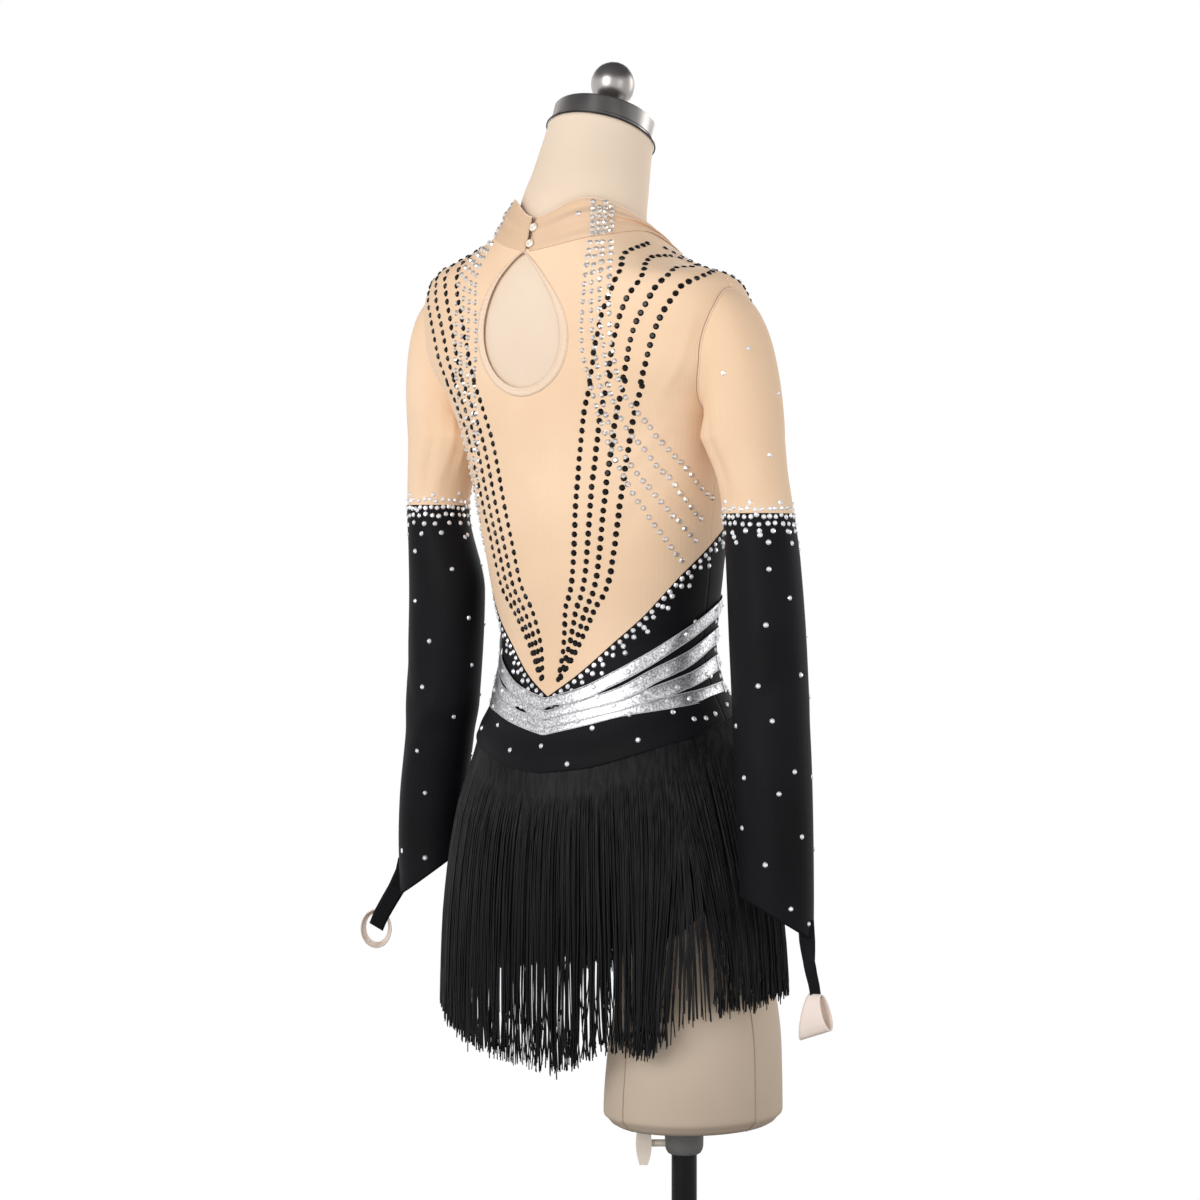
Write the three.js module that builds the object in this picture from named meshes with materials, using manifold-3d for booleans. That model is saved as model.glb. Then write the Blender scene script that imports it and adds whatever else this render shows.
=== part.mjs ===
// Figure skating dress on a limbless dress form with its pole and base plate.
// Units are millimetres, +Z is up. The wearer faces -Y and the wearer's right is -X.
import * as THREE from "three";
import { mergeVertices } from "three/addons/utils/BufferGeometryUtils.js";
import Module from "manifold-3d";

const wasm = await Module();
wasm.setup();

// Driving sizes
const CLOTH = 1.5; // wall of every cloth panel
const SEAM = 0.3; // gap between pieces that meet
const TRIM = 1.2; // wall of bindings and bands laid on a panel
const LAID = 0.8; // gap under a band or yoke that lies on the bodice
const FORM_GAP = 3; // air between the cloth and the form
const WAIST_OFFSET = [84, 10]; // the torso's axis, seen from the pole's axis
const SHOULDER_LEAN = 0.065; // rise of the left shoulder for each mm out from the middle
const SHOULDER_DIP = { x: -118, spread: 40, depth: 7 }; // the right shoulder is a little hollow
const deg = Math.PI / 180;

// Torso: one row for each level
const TORSO = {
  columns: ["z", "halfBreadth", "back", "front", "middleY", "power"],
  rows: [
    [643, 140, 25, 22, 3, 2], // crotch
    [650, 150, 60, 52, 3, 2],
    [665, 160, 90, 76, 3, 2],
    [690, 166, 108, 90, 2, 2],
    [720, 170, 117, 97, 2, 2],
    [755, 172, 116, 98, 2, 2], // hips
    [790, 166, 113, 98, 2, 2],
    [830, 157, 108, 95, 2, 2],
    [862, 148, 103, 92, 2, 2],
    [903, 132, 95, 88, 3, 2],
    [955, 119, 87, 84, 5, 2], // waist
    [1023, 130, 95, 88, 10, 2],
    [1100, 140, 98, 98, 16, 2.1],
    [1160, 150, 98, 104, 20, 2.2],
    [1195, 160, 93, 104, 28, 2.3],
    [1240, 180, 88, 100, 34, 2.5],
    [1285, 184, 86, 93, 36, 2.5],
    [1312, 176, 84, 86, 37, 2.4], // shoulder
    [1322, 168, 82, 82, 37, 2.3],
    [1337, 131, 79, 77, 37, 2.2],
    [1352, 97, 76, 69, 38, 2.1],
    [1367, 74, 71, 63, 39, 2],
    [1378, 68, 67, 64, 40, 2],
    [1390, 67, 65, 66, 40, 2], // neck
  ],
};

// How far the left half stands out past the right, by height
const LEFT_FULLNESS = {
  columns: ["z", "out"],
  rows: [[1060, 0], [1150, 4], [1210, 10], [1270, 13], [1330, 11], [1365, 8], [1420, 0]],
};
const MIDDLE_START = -75; // x at which the fuller half begins
const BUST = { x: 82, z: 1150, depth: 20, spread: 48 };
const ARMHOLE = { z: 1243, halfHeight: 65, backDepth: 41, frontDepth: 37 };

// Heights round the body by angle from the centre back, in degrees
const NECKLINE = {
  columns: ["angle", "z"],
  rows: [[0, 1340], [40, 1356], [90, 1367], [140, 1345], [180, 1318]],
};
const BLACK_EDGE = {
  columns: ["angle", "z"],
  rows: [
    [0, 906],
    [14, 926],
    [34, 959],
    [50, 985],
    [60, 1005],
    [71, 1026],
    [90, 1053],
    [120, 1092],
    [150, 1152],
    [180, 1112],
  ],
};
const LEG_LINE = {
  columns: ["angle", "z"],
  rows: [
    [0, 643.6],
    [8, 643.6],
    [15, 655],
    [30, 668],
    [52, 679],
    [66, 704],
    [73, 728],
    [90, 780],
    [120, 772],
    [150, 705],
    [165, 664],
    [172, 643.6],
    [180, 643.6],
  ],
};
const GUSSET = { front: -21.5, back: 30.5 };
const BANDS = {
  columns: [
    ...["angle", "first", "second", "third", "fourth"],
    ...["firstHalf", "secondHalf", "thirdHalf", "fourthHalf"],
  ],
  rows: [
    [0, 899, 889.3, 880.6, 872, 5.2, 3.9, 3.9, 3.9],
    [19, 911, 900, 890.6, 882.2, 5.6, 4.5, 4, 3.8],
    [34, 924.5, 909, 898.4, 890.6, 7, 5.8, 3.9, 3.5],
    [53, 943.7, 926.1, 911.3, 899, 7.2, 7.2, 5.6, 5.6],
    [73, 964.3, 940.9, 921.7, 905.4, 7.4, 7.7, 7, 6.5],
    [104, 990.5, 963.4, 938, 913.3, 7.5, 7.8, 7.2, 6.5],
    [130, 999, 968, 941, 914, 7.5, 7.8, 7.2, 6.5],
    [180, 1002, 970, 944, 918, 7.5, 7.8, 7.2, 6.5],
  ],
};
const YOKE = {
  columns: ["angle", "bottom"],
  rows: [[0, 832], [8, 834], [20, 838], [34, 847], [54, 861], [67, 868], [90, 882], [130, 893], [180, 899]],
};
const YOKE_FLARE = { out: 3.5, height: 10 }; // how far its lower edge stands off the bodice

// Fringe: the envelope that the strands hang on, and their length by angle
const FRINGE = {
  columns: ["z", "halfBreadth", "back", "front"],
  rows: [
    [600, 197, 128, 135],
    [670, 194, 127, 128],
    [720, 188, 125.5, 119],
    [760, 181, 122.5, 111],
    [800, 171, 118, 105],
    [840, 159, 111.5, 99.5],
    [870, 149, 105.5, 95.5],
    [905, 135, 98.5, 92],
  ],
};
const STRAND_LENGTH = {
  columns: ["angle", "length"],
  rows: [[0, 288], [40, 277], [57, 264], [90, 267], [180, 290]],
};
const STRANDS = 160; // all round
const STRAND_RADIUS = 1.25;
const STRAND_SPREAD = 0.36; // share of its length after which a strand hangs at full thickness
const HEADER = { height: 8, off: 0.8, thick: 2.2 };

// Sleeves: the side is 1 for the left and -1 for the right
const SLEEVE_COLUMNS = ["z", "x", "y", "halfWidth", "halfDepth"];
const SLEEVES = {
  right: {
    side: -1,
    join: 1082,
    hem: { inner: 722, drop: 41, low: -40 * deg },
    columns: SLEEVE_COLUMNS,
    rows: [
      [660, 231, 35, 34, 31],
      [725, 230, 35, 35.5, 32],
      [858, 225, 35, 37, 34],
      [953, 220, 35, 37, 34],
      [1038, 214, 35, 35.5, 33],
      [1075, 209.5, 35, 34.5, 32],
      [1115, 203, 35, 34, 33],
      [1160, 191, 35, 40, 38],
    ],
  },
  left: {
    side: 1,
    join: 1096,
    hem: { inner: 742, drop: 50, low: 40 * deg },
    columns: SLEEVE_COLUMNS,
    rows: [
      [660, 231, 16, 34, 31],
      [740, 230.5, 18, 35.5, 33],
      [790, 225, 22, 36, 33],
      [860, 208, 30, 36, 34],
      [895, 201, 33, 39, 36],
      [1010, 193, 35, 41, 36],
      [1090, 204, 35, 31, 33],
      [1160, 190, 35, 40, 38],
    ],
  },
};
const CAP_END = 1160; // where the sleeve cap has become a tube
const CAP_SHARE = 0.72; // part of the nude sleeve's rows that its cap takes

const COLLAR = {
  radius: 67,
  frontRadius: 69.5,
  middleY: 40,
  topAtMiddle: 1378,
  slope: 0.354, // its upper edge rises towards the back
  backDip: 30,
  dipAngle: 30,
  fold: 1.6,
};
const KEYHOLE = { x: 5, top: 1338, bottom: 1205, halfWidth: 45, point: 0.6, binding: 8 };
const KEYHOLE_SLIT = { wide: 1.2, high: 16 }; // the opening goes on up through the closure

const STUMP = {
  columns: ["z", "x", "y", "halfBreadth", "halfDepth"],
  rows: [
    [488, -93, -13, 76, 86],
    [491, -93, -13, 81, 91],
    [498, -93, -13, 84, 94],
    [560, -95, -13, 81, 92],
    [610, -98, -11, 73, 88],
    [655, -97, -8, 66, 74],
    [700, -90, -8, 60, 70],
    [780, -86, -8, 52, 60],
  ],
};
const NECK = { top: [5.5, 11, 1462], tilt: 19.5 * deg, radius: 54 };
const CAP = { radius: 52, height: 22, dome: 1.5, edge: 1 };
const KNOB = { radius: 22.5, stem: 9, stemHeight: 14 };
const COLUMNS = 18; // steps across each front or back panel
const POLE = { radius: 12.5, top: 640, boreGap: 0.5, boreTop: 850 };
const POLE_COLLAR = { radius: 19.3, top: 487.7, bottom: 456, round: 5, flare: 1.6 };
const SHANK_GAP = 0.4; // round the clamp screw's shank
const LEVER = {
  z: 466,
  shank: 3.6,
  start: 13.4,
  end: 36,
  wide: 16,
  deep: 14,
  tip: 8,
  halfHeight: 20.5,
};
const BASE = { radius: 215, height: 6, rim: 2 };

// A smooth curve through a table's column at x, with no overshoot
function read(table, name, x) {
  const rows = table.rows;
  const col = table.columns.indexOf(name);
  const last = rows.length - 1;
  if (x <= rows[0][0]) return rows[0][col];
  if (x >= rows[last][0]) return rows[last][col];
  let i = 0;
  while (rows[i + 1][0] < x) i++;
  const slope = (k) => (rows[k + 1][col] - rows[k][col]) / (rows[k + 1][0] - rows[k][0]);
  const tangent = (k) => {
    if (k === 0) return slope(0);
    if (k === last) return slope(last - 1);
    const before = slope(k - 1);
    const after = slope(k);
    return before * after <= 0 ? 0 : (2 * before * after) / (before + after);
  };
  const step = rows[i + 1][0] - rows[i][0];
  const t = (x - rows[i][0]) / step;
  const t2 = t * t;
  const t3 = t2 * t;
  return (
    (2 * t3 - 3 * t2 + 1) * rows[i][col] +
    (t3 - 2 * t2 + t) * step * tangent(i) +
    (3 * t2 - 2 * t3) * rows[i + 1][col] +
    (t3 - t2) * step * tangent(i + 1)
  );
}

const smooth = (a, b, x) => {
  const t = Math.min(1, Math.max(0, (x - a) / (b - a)));
  return t * t * (3 - 2 * t);
};
const byAngle = (table, name, phi) => read(table, name, Math.abs(phi) / deg);
const signedPower = (value, power) => Math.sign(value) * Math.abs(value) ** power;

// The left shoulder sits higher than the right, and the left half stands further out
function lean(p) {
  const amount = smooth(1050, 1250, p.z) * (1 - smooth(1385, 1440, p.z));
  const hollow = Math.exp(-(((p.x - SHOULDER_DIP.x) / SHOULDER_DIP.spread) ** 2)) * smooth(1250, 1330, p.z);
  const out = read(LEFT_FULLNESS, "out", p.z) * smooth(MIDDLE_START, 0, p.x);
  p.z += (SHOULDER_LEAN * p.x - SHOULDER_DIP.depth * hollow) * amount;
  p.x += out;
  return p;
}

// A point of the torso at an angle from the centre back towards the wearer's right
function torso(phi, z) {
  const power = 2 / read(TORSO, "power", z);
  const c = Math.cos(phi);
  const reach = read(TORSO, c > 0 ? "back" : "front", z);
  const x = -read(TORSO, "halfBreadth", z) * signedPower(Math.sin(phi), power);
  let y = read(TORSO, "middleY", z) + reach * signedPower(c, power);
  if (c < 0) {
    const away = ((Math.abs(x) - BUST.x) ** 2 + (z - BUST.z) ** 2) / (2 * BUST.spread ** 2);
    y -= BUST.depth * Math.exp(-away) * smooth(0, 0.35, -c);
  }
  return new THREE.Vector3(x, y, z);
}

// The same point moved out along the surface's normal
function onBody(phi, z, out) {
  const e = 0.02;
  const h = 0.7;
  const round = torso(phi + e, z).sub(torso(phi - e, z));
  const up = torso(phi, z + h).sub(torso(phi, z - h));
  const normal = round.cross(up).normalize();
  return torso(phi, z).addScaledVector(normal, out);
}

// Angle on the torso's back of a place x across and z up
function backAngle(x, z) {
  const part = Math.abs(x) / read(TORSO, "halfBreadth", z);
  return -Math.sign(x) * Math.asin(Math.min(1, part) ** (read(TORSO, "power", z) / 2));
}

const EDGE_MARGIN = 0.0012; // half of a seam's gap, as an angle

// Angle of the panel's side edge: the side seam, cut back round the armhole
function sideAngle(z, back) {
  const t = (z - ARMHOLE.z) / ARMHOLE.halfHeight;
  if (Math.abs(t) >= 1) return Math.PI / 2 - EDGE_MARGIN;
  const depth = (back ? ARMHOLE.backDepth : ARMHOLE.frontDepth) * Math.sqrt(1 - t * t);
  const part = depth / read(TORSO, back ? "back" : "front", z);
  return Math.acos(part ** (read(TORSO, "power", z) / 2));
}

// Closed solid between an outer and an inner grid of points; at(u, v, outer) gives both
function shell(nu, nv, at, closed = false) {
  const points = [];
  const faces = [];
  const across = closed ? nu : nu + 1;
  for (const outer of [true, false])
    for (let j = 0; j <= nv; j++)
      for (let i = 0; i < across; i++) points.push(at(i / nu, j / nv, outer));
  const id = (i, j, outer) => (outer ? 0 : across * (nv + 1)) + j * across + (i % across);
  const quad = (a, b, c, d) => faces.push([a, b, c], [a, c, d]);
  for (let i = 0; i < nu; i++)
    for (let j = 0; j < nv; j++) {
      quad(id(i, j, true), id(i + 1, j, true), id(i + 1, j + 1, true), id(i, j + 1, true));
      quad(id(i, j, false), id(i, j + 1, false), id(i + 1, j + 1, false), id(i + 1, j, false));
    }
  for (let i = 0; i < nu; i++) {
    quad(id(i, 0, true), id(i, 0, false), id(i + 1, 0, false), id(i + 1, 0, true));
    quad(id(i, nv, true), id(i + 1, nv, true), id(i + 1, nv, false), id(i, nv, false));
  }
  if (!closed)
    for (let j = 0; j < nv; j++) {
      quad(id(0, j, true), id(0, j + 1, true), id(0, j + 1, false), id(0, j, false));
      quad(id(nu, j, true), id(nu, j, false), id(nu, j + 1, false), id(nu, j + 1, true));
    }
  return indexed(points, faces);
}

// Closed solid through a stack of rings, with a flat fan at each end
function stack(rings) {
  const count = rings[0].length;
  const points = rings.flat();
  const faces = [];
  for (let j = 0; j < rings.length - 1; j++)
    for (let i = 0; i < count; i++) {
      const a = j * count + i;
      const b = j * count + ((i + 1) % count);
      faces.push([a, b, b + count], [a, b + count, a + count]);
    }
  for (const [j, turned] of [[0, true], [rings.length - 1, false]]) {
    const middle = rings[j].reduce((sum, p) => sum.add(p), new THREE.Vector3()).divideScalar(count);
    points.push(middle);
    for (let i = 0; i < count; i++) {
      const a = j * count + i;
      const b = j * count + ((i + 1) % count);
      faces.push(turned ? [b, a, points.length - 1] : [a, b, points.length - 1]);
    }
  }
  return indexed(points, faces);
}

// Geometry from points and faces, turned so that its faces point out
function indexed(points, faces) {
  let volume = 0;
  for (const [a, b, c] of faces) volume += points[a].dot(points[b].clone().cross(points[c]));
  const turned = volume < 0 ? faces.map(([a, b, c]) => [a, c, b]) : faces;
  const geometry = new THREE.BufferGeometry().setFromPoints(points);
  geometry.setIndex(turned.flat());
  return geometry;
}

// Between three.js geometries and manifold-3d solids, for joins and cuts
function toSolid(geometry) {
  const plain = geometry.clone();
  plain.deleteAttribute("normal");
  plain.deleteAttribute("uv");
  const merged = mergeVertices(plain, 1e-4);
  return new wasm.Manifold(
    new wasm.Mesh({
      numProp: 3,
      vertProperties: new Float32Array(merged.attributes.position.array),
      triVerts: new Uint32Array(merged.index.array),
    }),
  );
}

function toGeometry(solid) {
  const mesh = solid.getMesh();
  const geometry = new THREE.BufferGeometry();
  geometry.setAttribute("position", new THREE.BufferAttribute(new Float32Array(mesh.vertProperties), 3));
  geometry.setIndex(new THREE.BufferAttribute(new Uint32Array(mesh.triVerts), 1));
  return geometry;
}

const leaned = (geometry) => {
  const position = geometry.attributes.position;
  for (let i = 0; i < position.count; i++) {
    const p = lean(new THREE.Vector3().fromBufferAttribute(position, i));
    position.setXYZ(i, p.x, p.y, p.z);
  }
  return geometry;
};

const garment = new THREE.Group();
garment.position.set(WAIST_OFFSET[0], WAIST_OFFSET[1], 0);
const object = new THREE.Group();
object.add(garment);

const material = (color, roughness, metalness = 0) =>
  new THREE.MeshStandardMaterial({ color, roughness, metalness });
const NUDE = material(0xe6bfae, 0.8);
const BLACK = material(0x1b1a20, 0.7);
const SILVER = material(0xb9b9bf, 0.3, 0.9);
const FORM = material(0xb9a08e, 0.85);
const CHROME = material(0xc9c9cb, 0.2, 1);
const DARK = material(0x232327, 0.5, 0.6);

function place(name, geometry, look, parent = garment) {
  const mesh = new THREE.Mesh(geometry, look);
  mesh.name = name;
  parent.add(mesh);
}

// A panel's angle: the front's is counted from the centre back too
const panelAngle = (u, z, back) => {
  const side = sideAngle(z, back);
  const t = 2 * u - 1;
  return back ? t * side : Math.PI + t * side;
};
const fromBack = (phi) => Math.abs(Math.atan2(Math.sin(phi), Math.cos(phi)));

// Skin coloured panels of the upper back and chest
const PANEL_LEVELS = [1178, 1183, 1200, 1243, 1280, 1300, 1308, 1322, 1337];
const PANEL_LOW_STEPS = 4;

function panelHeight(v, phi) {
  const low = byAngle(BLACK_EDGE, "z", phi) + SEAM / 2;
  const high = byAngle(NECKLINE, "z", phi) - SEAM / 2;
  const levels = [...PANEL_LEVELS];
  for (let k = 0; k < PANEL_LOW_STEPS; k++)
    levels.splice(k, 0, low + ((PANEL_LEVELS[0] - low) * k) / PANEL_LOW_STEPS);
  levels.push(high);
  const end = levels.length - 1;
  const last = PANEL_LEVELS.length - 1;
  const spare = Math.min(PANEL_LEVELS[last], high - 4);
  levels[end - 1] = spare;
  levels[end - 2] = Math.min(PANEL_LEVELS[last - 1], spare - 4);
  return levels[Math.round(v * end)];
}
const PANEL_STEPS = PANEL_LEVELS.length + PANEL_LOW_STEPS;

function meshPanel(back) {
  const middle = back ? 0 : Math.PI;
  return shell(COLUMNS, PANEL_STEPS, (u, v, outer) => {
    const z = panelHeight(v, fromBack(middle + (2 * u - 1) * (Math.PI / 2)));
    return onBody(panelAngle(u, z, back), z, outer ? 0 : -CLOTH);
  });
}

const KEYHOLE_STEPS = 28;

// Outline of the keyhole opening, t from 0 to 1 round it from its pointed top
function keyholeOutline(t, grow = 0) {
  const turn = t * 2 * Math.PI;
  const widest = 0.815; // the most that the curve below reaches out of 1
  const centreDrop = 12; // the widening of the binding spreads from a little below the middle
  const middle = (KEYHOLE.top + KEYHOLE.bottom) / 2;
  const half = (KEYHOLE.top - KEYHOLE.bottom) / 2;
  const x = (-KEYHOLE.halfWidth / widest) * Math.sin(turn) * Math.abs(Math.sin(turn / 2)) ** KEYHOLE.point;
  const z = middle + half * Math.cos(turn);
  const away = new THREE.Vector2(x, z - middle + centreDrop).normalize().multiplyScalar(grow);
  return new THREE.Vector2(KEYHOLE.x + x + away.x, z + Math.min(away.y, 1));
}

function keyholeCutter() {
  const reach = 180; // how far back the cut begins, well behind the panel
  const depth = 120;
  const points = Array.from({ length: KEYHOLE_STEPS }, (_, i) => keyholeOutline(i / KEYHOLE_STEPS));
  const hole = new THREE.ExtrudeGeometry(new THREE.Shape(points), { depth, bevelEnabled: false });
  hole.rotateX(Math.PI / 2);
  hole.translate(0, reach, 0);
  const slit = new THREE.BoxGeometry(KEYHOLE_SLIT.wide, depth, KEYHOLE_SLIT.high);
  slit.translate(0, reach - depth / 2, KEYHOLE.top);
  return toSolid(hole).add(toSolid(slit));
}

function keyholeBinding() {
  return shell(
    KEYHOLE_STEPS,
    1,
    (u, v, outer) => {
      const p = keyholeOutline(u, 0.4 + v * KEYHOLE.binding);
      return onBody(backAngle(p.x, p.y), p.y, outer ? SEAM + TRIM : SEAM);
    },
    true,
  );
}

const BAND_NAMES = ["first", "second", "third", "fourth"];

// Black bodice and brief in one piece on each side
const BRIEF_SHARES = [0, 0.09, 0.25, 0.48, 0.74]; // rows between the leg line and the yoke's lower edge
const ABOVE_BANDS = 0.45; // where the row between the bands and the upper edge lies
const BODICE_STEPS = BRIEF_SHARES.length + 5;
const bodiceAngle = (u, back) => (back ? 0 : Math.PI) + (2 * u - 1) * (Math.PI / 2 - EDGE_MARGIN);

// Rows that run along the bands, so that the bands lie true on them
function bodiceHeights(phi) {
  const around = fromBack(phi);
  const low = byAngle(LEG_LINE, "z", around);
  const hip = byAngle(YOKE, "bottom", around);
  const high = byAngle(BLACK_EDGE, "z", around) - SEAM / 2;
  const [first, second, third, fourth] = BAND_NAMES.map((name) => byAngle(BANDS, name, around));
  const brief = BRIEF_SHARES.map((share) => low + (hip - low) * share);
  return [...brief, hip, fourth, (second + third) / 2, first, first + (high - first) * ABOVE_BANDS, high];
}

function bodice(back) {
  return shell(COLUMNS, BODICE_STEPS, (u, v, outer) => {
    const phi = bodiceAngle(u, back);
    return onBody(phi, bodiceHeights(phi)[Math.round(v * BODICE_STEPS)], outer ? 0 : -CLOTH);
  });
}

// A point on the bodice's own facets, moved out, for what lies on it
function onBodice(phi, z, out) {
  const heights = bodiceHeights(phi);
  let k = 0;
  while (k < heights.length - 2 && heights[k + 1] < z) k++;
  const share = (z - heights[k]) / (heights[k + 1] - heights[k]);
  return onBody(phi, heights[k], out).lerp(onBody(phi, heights[k + 1], out), share);
}

// Strip between the legs that joins front and back
function gusset() {
  const half = TORSO.rows[0][1] * Math.sin(LEG_LINE.rows[1][0] * deg) - 1;
  const z = LEG_LINE.rows[0][1] - SEAM;
  return shell(4, 4, (u, v, outer) => {
    const x = (2 * u - 1) * half;
    const y = GUSSET.front + v * (GUSSET.back - GUSSET.front);
    return new THREE.Vector3(x, y, z - (outer ? CLOTH : 0));
  });
}

function band(index, back) {
  return shell(COLUMNS, 1, (u, v, outer) => {
    const phi = bodiceAngle(u, back);
    const around = fromBack(phi);
    const half = byAngle(BANDS, BAND_NAMES[index] + "Half", around);
    const z = byAngle(BANDS, BAND_NAMES[index], around) + (2 * v - 1) * half;
    return onBodice(phi, z, outer ? LAID + TRIM : LAID);
  });
}

function yoke(back) {
  return shell(COLUMNS, 3, (u, v, outer) => {
    const phi = bodiceAngle(u, back);
    const around = fromBack(phi);
    const low = byAngle(YOKE, "bottom", around);
    const high = byAngle(BANDS, "fourth", around) - byAngle(BANDS, "fourthHalf", around) - 2 * SEAM;
    const bend = low + YOKE_FLARE.height;
    const row = Math.round(v * 3);
    const z = [low, bend, (bend + high) / 2, high][row];
    const out = [YOKE_FLARE.out, YOKE_FLARE.out, YOKE_FLARE.out * 0.55, LAID][row];
    return onBodice(phi, z, out + (outer ? TRIM : 0));
  });
}

// Fringe
function fringePoint(phi, z) {
  const c = Math.cos(phi);
  const reach = read(FRINGE, c > 0 ? "back" : "front", z);
  return new THREE.Vector3(-read(FRINGE, "halfBreadth", z) * Math.sin(phi), 3 + reach * c, z);
}
const fringeRoot = (phi) => byAngle(YOKE, "bottom", fromBack(phi)) + HEADER.height / 2 + 1;

function strand(phi) {
  const root = fringeRoot(phi);
  const length = byAngle(STRAND_LENGTH, "length", fromBack(phi));
  const out = new THREE.Vector3(-Math.sin(phi), Math.cos(phi), 0);
  const round = new THREE.Vector3(-Math.cos(phi), -Math.sin(phi), 0);
  const below = HEADER.height / 2 + 2.5;
  const rings = [
    { drop: 0, seat: HEADER.off + HEADER.thick / 2, radius: 0.4 },
    { drop: below, seat: HEADER.off + HEADER.thick / 2, radius: 0.95 },
    { drop: STRAND_SPREAD * length, radius: STRAND_RADIUS },
    { drop: length, radius: STRAND_RADIUS },
  ].map(({ drop, seat, radius }) => {
    const z = root - drop;
    const middle = seat ? onBodice(phi, z, seat) : fringePoint(phi, z);
    return [0, 1, 2].map((k) => {
      const turn = (k / 3) * 2 * Math.PI;
      return middle
        .clone()
        .addScaledVector(out, 0.8 * radius * Math.cos(turn))
        .addScaledVector(round, radius * Math.sin(turn));
    });
  });
  return stack(rings);
}

function fringe(back) {
  const count = STRANDS / 2;
  const header = shell(COLUMNS, 1, (u, v, outer) => {
    const phi = bodiceAngle(u, back);
    const z = fringeRoot(phi) + (v - 0.5) * HEADER.height;
    return onBodice(phi, z, HEADER.off + (outer ? HEADER.thick : 0));
  });
  const strands = Array.from({ length: count }, (_, i) => strand(bodiceAngle((i + 0.5) / count, back)));
  return toGeometry(wasm.Manifold.union([header, ...strands].map(toSolid)));
}

// Sleeves
function armholePoint(turn, side) {
  const z = ARMHOLE.z + ARMHOLE.halfHeight * Math.cos(turn);
  const s = Math.sin(turn);
  const back = s >= 0;
  const depth = (back ? ARMHOLE.backDepth : ARMHOLE.frontDepth) * Math.abs(s);
  const part = depth / read(TORSO, back ? "back" : "front", z);
  const angle = Math.acos(part ** (read(TORSO, "power", z) / 2));
  const phi = -side * (back ? angle : Math.PI - angle);
  return torso(phi, z).add(new THREE.Vector3(side * 0.8, 0, 0));
}

function sleeveRing(sleeve, turn, z) {
  const get = (name) => read(sleeve, name, z);
  return new THREE.Vector3(
    sleeve.side * (get("x") + get("halfWidth") * Math.cos(turn)),
    get("y") + get("halfDepth") * Math.sin(turn),
    z,
  );
}

function sleeveCap(sleeve, turn, t) {
  const up = (1 + Math.cos(turn)) / 2;
  const start = armholePoint(turn, sleeve.side);
  const end = sleeveRing(sleeve, turn, CAP_END);
  const out = new THREE.Vector3(sleeve.side, 0, -0.3).multiplyScalar(8 + 96 * up);
  const down = new THREE.Vector3(0, 0, -1).multiplyScalar(18 + 122 * up);
  const t2 = t * t;
  const t3 = t2 * t;
  return start
    .multiplyScalar(2 * t3 - 3 * t2 + 1)
    .addScaledVector(out, t3 - 2 * t2 + t)
    .addScaledVector(end, 3 * t2 - 2 * t3)
    .addScaledVector(down, t3 - t2);
}

// A tube's wall from its outer surface f(turn, t), with the inside offset by its normals
function tube(nu, levels, f, side, thick) {
  const e = 0.01;
  const atLevel = (turn, t, outer) => {
    const p = f(turn, t);
    if (outer) return p;
    const round = f(turn + e, t).sub(f(turn - e, t));
    const along = f(turn, Math.min(1, t + e)).sub(f(turn, Math.max(0, t - e)));
    return p.addScaledVector(round.cross(along).normalize(), thick * side);
  };
  const nv = levels.length - 1;
  return shell(nu, nv, (u, v, outer) => atLevel(u * 2 * Math.PI, levels[Math.round(v * nv)], outer), true);
}

function sleeveMesh(sleeve) {
  const levels = [0, 0.1, 0.25, 0.42, 0.58, CAP_SHARE, 0.86, 1];
  const f = (turn, t) => {
    if (t <= CAP_SHARE) return sleeveCap(sleeve, turn, t / CAP_SHARE);
    const z = CAP_END + (sleeve.join + SEAM / 2 - CAP_END) * ((t - CAP_SHARE) / (1 - CAP_SHARE));
    return sleeveRing(sleeve, turn, z);
  };
  return tube(16, levels, f, sleeve.side, CLOTH);
}

function sleeveBlack(sleeve, tail) {
  const { inner, drop, low } = sleeve.hem;
  const f = (turn, t) => {
    const hem = inner - (drop * (1 + Math.cos(turn - low))) / 2;
    const top = sleeve.join - SEAM / 2;
    return sleeveRing(sleeve, turn, top + (hem - top) * t);
  };
  const levels = [0, 0.17, 0.34, 0.5, 0.66, 0.83, 1];
  return toGeometry(toSolid(tube(16, levels, f, sleeve.side, CLOTH)).add(toSolid(tail)));
}

// Flat ribbon along a path, its width and face turning with the path's rows
function ribbon(path, thick) {
  const n = path.length - 1;
  const at = (row) => new THREE.Vector3(row.x, row.y, row.z);
  return shell(1, n, (u, v, outer) => {
    const row = path[Math.round(v * n)];
    const next = at(path[Math.min(n, Math.round(v * n) + 1)]);
    const before = at(path[Math.max(0, Math.round(v * n) - 1)]);
    const along = next.sub(before).normalize();
    const across = new THREE.Vector3(...row.across).normalize();
    const face = across.clone().cross(along).normalize();
    return at(row)
      .addScaledVector(across, (u - 0.5) * row.width)
      .addScaledVector(face, outer ? thick / 2 : -thick / 2);
  });
}

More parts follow.
